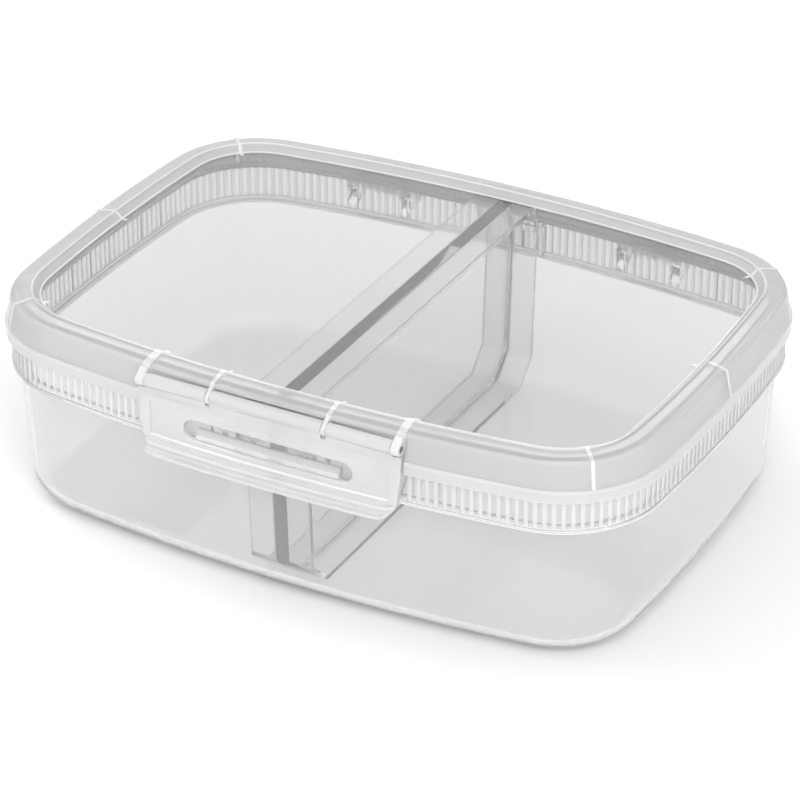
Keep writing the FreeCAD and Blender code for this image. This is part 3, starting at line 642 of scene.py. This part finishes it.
class LUNCHBOX_OT_lid(Operator):
    """Build the lid: shell, fins, notch, rod lugs and hinge arms"""
    bl_idname = "lunchbox.lid"
    bl_label = "Lid"

    def execute(self, context):
        settings = context.scene.lunch_box
        plan, lid = settings.outline, settings.lid
        at = lid_levels(settings)
        cut = lid.panel * math.sqrt(2)
        bend = (cut - lid.peak_rise - lid.wall - lid.rim_flat) / (1 + lid.peak_rise / lid.rim_flat)
        section = rounded([
            (-plan.cap_inset, at["panel_top"], 0),
            (-lid.rim_flat - lid.recess, at["panel_top"], lid.peak_round),
            (-lid.rim_flat, at["peak"], lid.peak_round),
            (0, at["crease"], lid.crease_round),
            (at["lip_out"] - lid.lip_step, at["lip_top"] + lid.lip_step, lid.step_round),
            (at["lip_out"], at["lip_top"], lid.step_round),
            (at["lip_out"], at["lip_low"], lid.edge),
            (at["lip_in"], at["lip_low"], lid.edge),
            (at["lip_in"], at["lip_top"], lid.edge),
            (-lid.wall, at["crease"] - lid.wall, lid.edge),
            (at["plug_out"], rim_under(settings, at["plug_out"]), lid.step_round / 2),
            (at["plug_out"], at["plug_low"], lid.edge),
            (at["plug_in"], at["plug_low"], lid.edge),
            (at["plug_in"], rim_under(settings, at["plug_in"]), lid.step_round),
            (bend, rim_under(settings, bend), lid.edge),
            (cut - lid.panel - lid.rim_flat - lid.recess, at["panel_under"], lid.edge),
            (-plan.cap_inset, at["panel_under"], 0),
        ])
        shell = loft("lid_shell", plan, section)
        # The lid's rim gets the grey rim plastic, which is painted shade. The lip, plug, underside and panel
        # are given other plastics below.
        paint(shell, plastic(settings.look, "rim"))
        mark_rows(shell, section, plastic(settings.look, "clip"), lambda point: (
            point.x > at["lip_out"] - lid.lip_step - EDGE_WIDTH
            and point.y < at["lip_top"] + lid.lip_step + EDGE_WIDTH))
        mark_rows(shell, section, plastic(settings.look, "wall"), lambda point: (
            point.x < at["plug_out"] + EDGE_WIDTH and point.y < rim_under(settings, point.x) + EDGE_WIDTH))
        self.mark_panel(shell, settings)
        combine(shell, self.fins(settings), "UNION")
        combine(shell, [self.notch(settings)], "DIFFERENCE")
        combine(shell, self.lugs(settings) + self.arms(settings), "UNION")
        combine(shell, self.bores(settings), "DIFFERENCE")
        finish_piece(shell, "lid", settings.look, "lid")
        return {"FINISHED"}

    def mark_panel(self, shell, settings):
        """Give the flat middle its clearer plastic."""
        index = material_index(shell.data, plastic(settings.look, "panel"))
        at = lid_levels(settings)
        levels = (at["panel_under"], at["panel_top"])
        for face in shell.data.polygons:
            flat = abs(face.normal.z) > FLAT_FACE
            if flat and any(abs(face.center.z - level) < EDGE_WIDTH for level in levels):
                face.material_index = index

    def fins(self, settings):
        plan, lid, clip = settings.outline, settings.lid, settings.clip
        at = lid_levels(settings)
        inner = -lid.rim_flat - lid.recess
        section = [
            (at["plug_out"] - lid.fin_bite, RIM_HEIGHT + lid.fin_gap),
            (at["lip_in"] + lid.fin_bite, RIM_HEIGHT + lid.fin_gap),
            (at["lip_out"] - lid.lip_step + lid.fin_proud, at["lip_top"] + lid.lip_step),
            (lid.fin_proud, at["crease"] + lid.fin_proud),
            (-lid.rim_flat, at["peak"] + lid.fin_proud),
            (inner, at["panel_top"] + lid.fin_proud),
            (inner - lid.fin_tail, at["panel_top"] + lid.fin_proud),
            (inner - lid.fin_tail, at["panel_top"] - lid.panel / 2),
            (inner + lid.panel / 2, at["panel_top"] - lid.panel / 2),
            (at["plug_out"] - lid.fin_bite, rim_under(settings, at["plug_out"]) + lid.fin_bite),
        ]
        x, y = corner_centre(plan)
        lean = lid.fin_angle
        turn = math.pi
        places = [
            (x, y, lean, plan.corner, lid.fin_wall),
            (-x, y, turn - lean, plan.corner, lid.fin_wall),
            (-x, -y, turn + lean, plan.corner, lid.fin_wall),
            (x, -y, -lean, plan.corner, lid.fin_wall),
            (0, 0, 0, plan.length / 2, lid.fin_wall),
            (0, 0, turn, plan.length / 2, lid.fin_wall),
        ]
        bow = plan.long_bow - plan.width / 2
        for spacing, wall in ((clip.lug_spacing, clip.lug_wall), (clip.width - clip.end_lug, clip.end_lug)):
            swing = math.asin(spacing / 2 / plan.long_bow)
            for side in (-1, 1):
                places.append((0, bow, side * swing - turn / 2, plan.long_bow, wall))
        fins = []
        for px, py, bearing, reach, wall in places:
            polygon = [(reach + offset, height) for offset, height in section]
            fin = slab("fin", polygon, wall, bearing, (px, py))
            # Fins take the edge plastic, which paints them as white highlight lines.
            paint(fin, plastic(settings.look, "edge"))
            fins.append(fin)
        return fins

    def notch(self, settings):
        plan, lid, clip = settings.outline, settings.lid, settings.clip
        at = lid_levels(settings)
        back = CLIP_AXIS.y + clip.barrel + clip.barrel_gap
        front = back - plan.cap_inset
        low = at["lip_low"] - lid.lip_height
        high = at["crease"] - clip.notch_roof
        half = clip.width / 2 + clip.side_gap
        return slab_across("notch", [(front, low), (back, low), (back, high), (front, high)], -half, half)

    def lugs(self, settings):
        clip = settings.clip
        at = lid_levels(settings)
        roof = at["crease"] - clip.notch_roof / 2
        back = CLIP_AXIS.y + clip.lug_reach
        polygon = [(back, roof), (CLIP_AXIS.y + LUG_FRONT, roof)]
        polygon += [on_circle(CLIP_AXIS, clip.barrel, math.radians(a)) for a in LUG_CORNERS]
        polygon += [(back, CLIP_AXIS.z - clip.barrel)]
        lugs = []
        for spacing, wall in ((clip.lug_spacing, clip.lug_wall), (clip.width - clip.end_lug, clip.end_lug)):
            for side in (-1, 1):
                middle = side * spacing / 2
                lugs.append(slab_across("lug", polygon, middle - wall / 2, middle + wall / 2))
        for lug in lugs:
            # Lugs take the edge plastic, which paints them as white highlight lines.
            paint(lug, plastic(settings.look, "edge"))
        return lugs

    def arms(self, settings):
        plan, lid, hinge = settings.outline, settings.lid, settings.hinge
        at = lid_levels(settings)
        root = plan.width / 2
        polygon = [
            (root, at["lip_low"] + lid.edge),
            (root, at["lip_top"]),
            (HINGE_AXIS.y - hinge.radius + hinge.edge, at["lip_top"]),
            on_circle(HINGE_AXIS, hinge.radius, hinge.arm_top),
            (HINGE_AXIS.y, HINGE_AXIS.z),
            on_circle(HINGE_AXIS, hinge.radius, hinge.arm_low),
        ]
        pieces = []
        for side in (-1, 1):
            low = side * hinge.spacing / 2 - hinge.knuckle / 2
            high = low + hinge.knuckle
            pieces.append(slab_across("arm", polygon, low, high))
            pieces.append(rod_along("knuckle", HINGE_AXIS, hinge.radius, low, high))
        for piece in pieces:
            paint(piece, plastic(settings.look, "wall"))
        return pieces

    def bores(self, settings):
        clip, hinge = settings.clip, settings.hinge
        half = clip.width / 2 + clip.side_gap
        return [rod_along("rod_bore", CLIP_AXIS, clip.rod + hinge.run_gap, -half, half), pin_bore(hinge)]


class LUNCHBOX_OT_clip(Operator):
    """Build the front clip: plate, barrels, window and finger lip"""
    bl_idname = "lunchbox.clip"
    bl_label = "Clip"

    def execute(self, context):
        settings = context.scene.lunch_box
        plan, clip = settings.outline, settings.clip
        half = clip.width / 2
        outer = clip.inner + clip.wall
        section = rounded([
            (clip.inner, clip.bottom, clip.edge),
            (outer, clip.bottom, clip.edge),
            (outer, CLIP_AXIS.z, 0),
            (clip.inner, CLIP_AXIS.z, 0),
        ], closed=True)
        plate = front_sweep("clip_plate", plan, lambda x: section, -half, half)
        paint(plate, plastic(settings.look, "clip"))
        combine(plate, [self.recess(settings)], "DIFFERENCE")
        combine(plate, [self.finger(settings)] + self.barrels(settings), "UNION")
        combine(plate, self.cuts(settings), "DIFFERENCE")
        finish_piece(plate, "clip", settings.look, "clip")
        return {"FINISHED"}

    def recess(self, settings):
        """Shallow field round the window."""
        plan, clip = settings.outline, settings.clip
        face = clip.inner + clip.wall
        floor = face - clip.recess
        middle = window_height(clip)
        low, high = middle - clip.recess_height / 2, middle + clip.recess_height / 2
        half = clip.width / 2 - clip.recess_side
        section = rounded([
            (floor, low + clip.recess, clip.edge),
            (face + clip.wall, low - clip.wall, 0),
            (face + clip.wall, high + clip.wall, 0),
            (floor, high - clip.recess, clip.edge),
        ], closed=True)
        return front_sweep("recess", plan, lambda x: section, -half, half)

    def finger(self, settings):
        """Grip along the lower edge, stepped into ridges, its ends rounded off."""
        plan, clip = settings.outline, settings.clip
        root = clip.inner + clip.edge
        face = clip.inner + clip.wall
        low = clip.bottom + clip.edge / 4
        half = clip.width / 2 - clip.taper
        tread = clip.finger_reach / (clip.ridges + 1)
        rise = clip.finger_thick / clip.ridges

        def section(x):
            past = max(0, abs(x) - half + clip.corner) / clip.corner
            fade = max(math.sqrt(max(0, 1 - past**2)), EDGE_WIDTH / clip.finger_reach)
            points = [(root, low, 0)]
            for ridge in range(clip.ridges):
                reach = face + (clip.finger_reach - ridge * tread) * fade
                points.append((reach, low + ridge * rise, 0))
                points.append((reach - tread * fade * RIDGE_LEAN, low + (ridge + RIDGE_RISE) * rise, 0))
            points.append((face - clip.edge / 2, low + clip.finger_thick, 0))
            points.append((root, low + clip.finger_thick, 0))
            return rounded(points)

        return front_sweep("finger_lip", plan, section, -half, half)

    def barrels(self, settings):
        clip = settings.clip
        slot = clip.lug_wall / 2 + clip.lug_gap
        end = clip.width / 2 - clip.end_lug - clip.lug_gap
        mid = clip.lug_spacing / 2
        spans = [(-end, -mid - slot), (-mid + slot, mid - slot), (mid + slot, end)]
        return [rod_along("barrel", CLIP_AXIS, clip.barrel, low, high) for low, high in spans]

    def cuts(self, settings):
        plan, clip, hinge = settings.outline, settings.clip, settings.hinge
        outer = clip.inner + clip.wall
        lead = clip.window_lead
        far = clip.finger_reach
        depths = [(-far, 0), (outer - lead, 0), (outer, lead), (far + outer, lead)]
        window = front_slot("window", plan, depths, window_height(clip), clip.window, clip.window_height)
        bore = rod_along("bore", CLIP_AXIS, clip.rod + hinge.run_gap, -clip.width, clip.width)
        return [window, bore] + self.lug_slots(settings) + self.side_tapers(settings)

    def lug_slots(self, settings):
        clip = settings.clip
        low = CLIP_AXIS.z - clip.barrel - 2 * clip.lug_gap
        high = CLIP_AXIS.z + clip.barrel * 2
        depth = 4 * clip.barrel
        near, far = CLIP_AXIS.y + depth, CLIP_AXIS.y - depth
        polygon = [(far, low), (near, low), (near, high), (far, high)]
        slot = clip.lug_wall / 2 + clip.lug_gap
        end = clip.width / 2 - clip.end_lug - clip.lug_gap
        mid = clip.lug_spacing / 2
        slots = []
        for side in (-1, 1):
            for start, stop in ((mid - slot, mid + slot), (end, clip.width)):
                ends = sorted((side * start, side * stop))
                slots.append(slab_across("lug_slot", polygon, *ends))
        return slots

    def side_tapers(self, settings):
        clip = settings.clip
        half = clip.width / 2
        foot = half - clip.taper
        low = clip.bottom - clip.wall
        outline = rounded([
            (half, clip.taper_top, 0),
            (foot, clip.bottom, clip.corner),
            (0, clip.bottom, 0),
        ])
        depth = 4 * clip.finger_reach
        cuts = []
        for side in (-1, 1):
            corner = [(side * point.x, point.y) for point in outline[:-1]]
            polygon = corner + [(corner[-1][0], low), (side * (half + clip.taper), low),
                                (side * (half + clip.taper), clip.taper_top)]
            cuts.append(slab("side_cut", polygon, depth, 0, (0, CLIP_AXIS.y)))
        return cuts


class LUNCHBOX_OT_divider(Operator):
    """Build the loose divider: a web with flanges round its edge"""
    bl_idname = "lunchbox.divider"
    bl_label = "Divider"

    def execute(self, context):
        settings = context.scene.lunch_box
        divider = settings.divider
        half = divider.flange / 2
        block = slab_across("divider_block", self.outline(settings, 0), -half, half, divider.edge)
        pockets = []
        for side in (-1, 1):
            ends = sorted((side * divider.web / 2, side * divider.flange))
            pockets.append(slab_across("pocket", self.outline(settings, divider.wall), *ends, divider.edge))
        paint(block, plastic(settings.look, "divider"))
        combine(block, pockets, "DIFFERENCE")
        finish_piece(block, "tub", settings.look, "divider")
        return {"FINISHED"}

    def outline(self, settings, inset):
        plan, tub, lid, divider = settings.outline, settings.tub, settings.lid, settings.divider
        at = lid_levels(settings)
        foot = tub.floor + divider.foot_gap + inset
        cut = divider.corner - (2 - math.sqrt(2)) * inset
        shoulder = at["plug_low"] - divider.shoulder_gap
        top = at["panel_under"] - divider.lid_gap - inset
        reach = plan.width / 2 + at["plug_in"] - lid.plug_gap - inset

        def wall(height):
            return plan.width / 2 + wall_out(tub, height) - tub.wall - divider.gap - inset

        rear = [
            (wall(foot) - cut, foot),
            (wall(foot + cut), foot + cut),
            (wall(shoulder), shoulder - inset),
            (reach, shoulder - inset),
            (reach, top),
        ]
        return rear + [(-y, z) for y, z in reversed(rear)]


class LUNCHBOX_OT_flutes(Operator):
    """Set fine upright flutes round the tub's collar"""
    bl_idname = "lunchbox.flutes"
    bl_label = "Collar flutes"

    def execute(self, context):
        settings = context.scene.lunch_box
        plan, tub, lid, flutes = settings.outline, settings.tub, settings.lid, settings.flutes
        low = RIM_HEIGHT - tub.collar + tub.bead_height + tub.bead_out
        high = RIM_HEIGHT - lid.lip_lap + lid.lip_height
        path = bpy.data.curves.new("collar_path", "CURVE")
        path.dimensions = "3D"
        spline = path.splines.new("POLY")
        ring = outline_ring(plan, tub.collar_out, (low + high) / 2)
        hidden = [i for i, p in enumerate(ring) if p.y < 0 and abs(p.x) < settings.clip.width / 2]
        ring = ring[hidden[-1] + 1:] + ring[:hidden[0]]
        spline.points.add(len(ring) - 1)
        for point, place in zip(spline.points, ring):
            point.co = (*place, 1)
        carrier = bpy.data.objects.new("collar_flutes", path)
        context.scene.collection.objects.link(carrier)
        tree, sockets = flute_tree(plastic(settings.look, "clip"))
        grow = carrier.modifiers.new("flutes", "NODES")
        grow.node_group = tree
        grow[sockets["Pitch"]] = flutes.pitch
        grow[sockets["Width"]] = flutes.width
        grow[sockets["Depth"]] = flutes.depth
        grow[sockets["Height"]] = high - low
        graph = context.evaluated_depsgraph_get()
        mesh = bpy.data.meshes.new_from_object(carrier.evaluated_get(graph))
        bpy.data.objects.remove(carrier)
        bars = bpy.data.objects.new("collar_flutes", mesh)
        context.scene.collection.objects.link(bars)
        shell = bpy.data.objects["tub_shell"]
        combine(shell, [bars], "UNION")
        shell.data.set_sharp_from_angle(angle=SMOOTH_ANGLE)
        return {"FINISHED"}


def flute_tree(material):
    """Node tree that stands flat oval bars on the path at even steps, and its input identifiers."""
    tree = bpy.data.node_groups.new("collar_flutes", "GeometryNodeTree")
    face = tree.interface
    face.new_socket("Path", in_out="INPUT", socket_type="NodeSocketGeometry")
    sockets = {}
    for name in ("Pitch", "Width", "Depth", "Height"):
        sockets[name] = face.new_socket(name, in_out="INPUT", socket_type="NodeSocketFloat").identifier
    face.new_socket("Flutes", in_out="OUTPUT", socket_type="NodeSocketGeometry")
    nodes, links = tree.nodes, tree.links
    given = nodes.new("NodeGroupInput")
    result = nodes.new("NodeGroupOutput")
    steps = nodes.new("GeometryNodeResampleCurve")
    links.new(given.outputs["Path"], steps.inputs["Curve"])
    steps.mode = "LENGTH"
    links.new(given.outputs["Pitch"], steps.inputs["Length"])
    bar = nodes.new("GeometryNodeMeshCylinder")
    bar.inputs["Vertices"].default_value = FLUTE_SIDES
    bar.inputs["Radius"].default_value = 0.5
    bar.inputs["Depth"].default_value = 1.0
    tangent = nodes.new("GeometryNodeInputTangent")
    turn = nodes.new("FunctionNodeAlignRotationToVector")
    turn.axis = "X"
    links.new(tangent.outputs[0], turn.inputs["Vector"])
    double = nodes.new("ShaderNodeMath")
    double.operation = "MULTIPLY"
    double.inputs[1].default_value = 2
    links.new(given.outputs["Depth"], double.inputs[0])
    extent = nodes.new("ShaderNodeCombineXYZ")
    links.new(given.outputs["Width"], extent.inputs["X"])
    links.new(double.outputs[0], extent.inputs["Y"])
    links.new(given.outputs["Height"], extent.inputs["Z"])
    stand = nodes.new("GeometryNodeInstanceOnPoints")
    links.new(steps.outputs["Curve"], stand.inputs["Points"])
    links.new(bar.outputs["Mesh"], stand.inputs["Instance"])
    links.new(turn.outputs["Rotation"], stand.inputs["Rotation"])
    links.new(extent.outputs[0], stand.inputs["Scale"])
    real = nodes.new("GeometryNodeRealizeInstances")
    links.new(stand.outputs["Instances"], real.inputs["Geometry"])
    coat = nodes.new("GeometryNodeSetMaterial")
    coat.inputs["Material"].default_value = material
    links.new(real.outputs["Geometry"], coat.inputs["Geometry"])
    links.new(coat.outputs["Geometry"], result.inputs["Flutes"])
    return tree, sockets


class LUNCHBOX_OT_pins(Operator):
    """Give the rod and the hinge pins their plastic"""
    bl_idname = "lunchbox.pins"
    bl_label = "Rod and pins"

    def execute(self, context):
        for name in ("clip_rod", "hinge_pin_left", "hinge_pin_right"):
            paint(frame["nodes"][name], plastic(context.scene.lunch_box.look, "wall"))
        return {"FINISHED"}


def clear_plastic(name, colour, haze, blur):
    """Clear moulded plastic: passes light, scatters a share of it, and has a faintly uneven gloss."""
    existing = bpy.data.materials.get(name)
    if existing:
        return existing
    material = bpy.data.materials.new(name)
    material.use_nodes = True
    nodes = material.node_tree.nodes
    links = material.node_tree.links
    shader = nodes["Principled BSDF"]
    shader.inputs["Base Color"].default_value = (*colour, 1)
    shader.inputs["IOR"].default_value = PLASTIC_IOR
    shader.inputs["Transmission Weight"].default_value = 1 - haze
    place = nodes.new("ShaderNodeTexCoord")
    flow = nodes.new("ShaderNodeTexNoise")
    flow.inputs["Scale"].default_value = FLOW_SCALE
    flow.inputs["Detail"].default_value = FLOW_DETAIL
    spread = nodes.new("ShaderNodeMapRange")
    spread.inputs["To Min"].default_value = blur / 2
    spread.inputs["To Max"].default_value = blur * 3 / 2
    links.new(place.outputs["Object"], flow.inputs["Vector"])
    links.new(flow.outputs["Fac"], spread.inputs["Value"])
    links.new(spread.outputs["Result"], shader.inputs["Roughness"])
    waves = nodes.new("ShaderNodeBump")
    waves.inputs["Strength"].default_value = WAVE_STRENGTH
    waves.inputs["Distance"].default_value = WAVE_DEPTH
    links.new(flow.outputs["Fac"], waves.inputs["Height"])
    links.new(waves.outputs["Normal"], shader.inputs["Normal"])
    return material


def plastic(look, region):
    """Clear plastic of one region of the box, with the tint and haze that the settings give it."""
    blur = RIM_BLUR if region == "rim" else GLOSS_BLUR
    colour = getattr(look, region + "_tint")
    haze = getattr(look, region + "_haze")
    return clear_plastic("clear_" + region, colour, haze, blur)


class LUNCHBOX_OT_stage(Operator):
    """Floor, light and camera"""
    bl_idname = "lunchbox.stage"
    bl_label = "Stage"

    def execute(self, context):
        scene = context.scene
        scene.view_settings.view_transform = "Standard"
        scene.cycles.max_bounces = LIGHT_BOUNCES
        scene.cycles.transmission_bounces = LIGHT_BOUNCES
        scene.cycles.transparent_max_bounces = LIGHT_BOUNCES
        make_floor()
        make_world(scene)
        make_lamps()
        make_camera(scene)
        return {"FINISHED"}


LIGHT_BOUNCES = 28
FLOOR_SIZE = 6.0
FLOOR_GAP = 0.3 * MM
FLOOR_SHINE = 0.68
FLOOR_PAINT = (0.88, 0.88, 0.88, 1)
WHITE = (1, 1, 1, 1)
FIRST_SCATTER = 0.5
WORLD_LIGHT = 0.64
WORLD_LEAN = 0.4
WORLD_SIDE = Vector((0.0, 0.0, 1.0))
FILL_POWER = 62.0
KEY_POWER = 14.0
LAMPS = [
    ("fill", (1.4, -1.8, 1.6), 2.4, FILL_POWER),
    ("key", (-1.5, -0.1, 1.5), 1.6, KEY_POWER),
]


def seen_directly(nodes, links, bare=1, through=1):
    """Socket for what the eye meets: bare for camera rays, through for rays that only the plastic turned."""
    def math_node(operation, *feeds):
        node = nodes.new("ShaderNodeMath")
        node.operation = operation
        for socket, feed in zip(node.inputs, feeds):
            if isinstance(feed, (int, float)):
                socket.default_value = feed
            else:
                links.new(feed, socket)
        return node.outputs[0]

    path = nodes.new("ShaderNodeLightPath")
    turned = math_node("MAXIMUM", path.outputs["Is Glossy Ray"], path.outputs["Is Transmission Ray"])
    turned = math_node("MULTIPLY", turned, through)
    total = math_node("MULTIPLY_ADD", path.outputs["Is Camera Ray"], bare, turned)
    unscattered = math_node("LESS_THAN", path.outputs["Diffuse Depth"], FIRST_SCATTER)
    return math_node("MULTIPLY", total, unscattered)


def make_floor():
    bpy.ops.mesh.primitive_plane_add(size=FLOOR_SIZE, location=(0, 0, -FLOOR_GAP))
    floor = bpy.context.object
    floor.name = "floor"
    material = bpy.data.materials.new("pale_floor")
    material.use_nodes = True
    nodes, links = material.node_tree.nodes, material.node_tree.links
    nodes.remove(nodes["Principled BSDF"])
    matte = nodes.new("ShaderNodeBsdfDiffuse")
    matte.inputs["Color"].default_value = FLOOR_PAINT
    glow = nodes.new("ShaderNodeEmission")
    glow.inputs["Color"].default_value = WHITE
    mix = nodes.new("ShaderNodeMixShader")
    links.new(seen_directly(nodes, links, 0, FLOOR_SHINE), mix.inputs["Fac"])
    links.new(matte.outputs[0], mix.inputs[1])
    links.new(glow.outputs[0], mix.inputs[2])
    links.new(mix.outputs[0], nodes["Material Output"].inputs["Surface"])
    floor.data.materials.append(material)


def make_world(scene):
    world = bpy.data.worlds.new("studio")
    scene.world = world
    world.use_nodes = True
    nodes, links = world.node_tree.nodes, world.node_tree.links
    soft = nodes["Background"]
    soft.inputs["Color"].default_value = WHITE
    place = nodes.new("ShaderNodeTexCoord")
    lean = nodes.new("ShaderNodeVectorMath")
    lean.operation = "DOT_PRODUCT"
    lean.inputs[1].default_value = WORLD_SIDE
    level = nodes.new("ShaderNodeMath")
    level.operation = "MULTIPLY_ADD"
    level.inputs[1].default_value = WORLD_LIGHT * WORLD_LEAN
    level.inputs[2].default_value = WORLD_LIGHT
    links.new(place.outputs["Generated"], lean.inputs[0])
    links.new(lean.outputs["Value"], level.inputs[0])
    links.new(level.outputs[0], soft.inputs["Strength"])
    white = nodes.new("ShaderNodeBackground")
    white.inputs["Color"].default_value = WHITE
    white.inputs["Strength"].default_value = 1
    mix = nodes.new("ShaderNodeMixShader")
    links.new(seen_directly(nodes, links), mix.inputs["Fac"])
    links.new(soft.outputs[0], mix.inputs[1])
    links.new(white.outputs[0], mix.inputs[2])
    links.new(mix.outputs[0], nodes["World Output"].inputs["Surface"])


def make_lamps():
    for name, place, width, power in LAMPS:
        lamp = bpy.data.lights.new(name, "AREA")
        lamp.size = width
        lamp.energy = power
        holder = bpy.data.objects.new(name, lamp)
        holder.location = place
        holder.visible_glossy = False
        holder.visible_transmission = False
        holder.rotation_euler = (-Vector(place)).to_track_quat("-Z", "Y").to_euler()
        bpy.context.scene.collection.objects.link(holder)


CAMERA_AZIMUTH = math.radians(28.41)
CAMERA_ELEVATION = math.radians(29.74)
CAMERA_DISTANCE = 0.9899
CAMERA_TARGET = Vector((0, 0, 0.0317))
CAMERA_LENS = 156.42
CAMERA_SHIFT = (0.0011, -0.0192)


def make_camera(scene):
    data = bpy.data.cameras.new("camera")
    data.lens = CAMERA_LENS
    data.shift_x, data.shift_y = CAMERA_SHIFT
    holder = bpy.data.objects.new("camera", data)
    flat = math.cos(CAMERA_ELEVATION)
    back = Vector((math.sin(CAMERA_AZIMUTH) * flat, -math.cos(CAMERA_AZIMUTH) * flat,
                   math.sin(CAMERA_ELEVATION)))
    holder.location = CAMERA_TARGET + back * CAMERA_DISTANCE
    holder.rotation_euler = (-back).to_track_quat("-Z", "Y").to_euler()
    scene.collection.objects.link(holder)
    scene.camera = holder


STEPS = (LUNCHBOX_OT_stage, LUNCHBOX_OT_tub, LUNCHBOX_OT_lid, LUNCHBOX_OT_clip, LUNCHBOX_OT_divider,
         LUNCHBOX_OT_flutes, LUNCHBOX_OT_pins)
GROUPS = (OutlineSizes, TubSizes, LidSizes, HingeSizes, ClipSizes, DividerSizes, FluteSizes, LookSettings,
          LunchBoxSettings)


class LUNCHBOX_PT_panel(Panel):
    """Lists the steps that dress the lunch box"""
    bl_label = "Lunch Box"
    bl_idname = "LUNCHBOX_PT_panel"
    bl_space_type = "VIEW_3D"
    bl_region_type = "UI"
    bl_category = "Lunch Box"

    def draw(self, context):
        for step in STEPS:
            self.layout.operator(step.bl_idname)


def register():
    for cls in (*GROUPS, *STEPS, LUNCHBOX_PT_panel):
        bpy.utils.register_class(cls)
    bpy.types.Scene.lunch_box = PointerProperty(type=LunchBoxSettings)


def unregister():
    del bpy.types.Scene.lunch_box
    for cls in reversed((*GROUPS, *STEPS, LUNCHBOX_PT_panel)):
        bpy.utils.unregister_class(cls)


def main():
    register()
    bpy.ops.lunchbox.stage()
    bpy.ops.lunchbox.tub()
    bpy.ops.lunchbox.lid()
    bpy.ops.lunchbox.clip()
    bpy.ops.lunchbox.divider()
    bpy.ops.lunchbox.flutes()
    bpy.ops.lunchbox.pins()


if __name__ == "__main__":
    main()
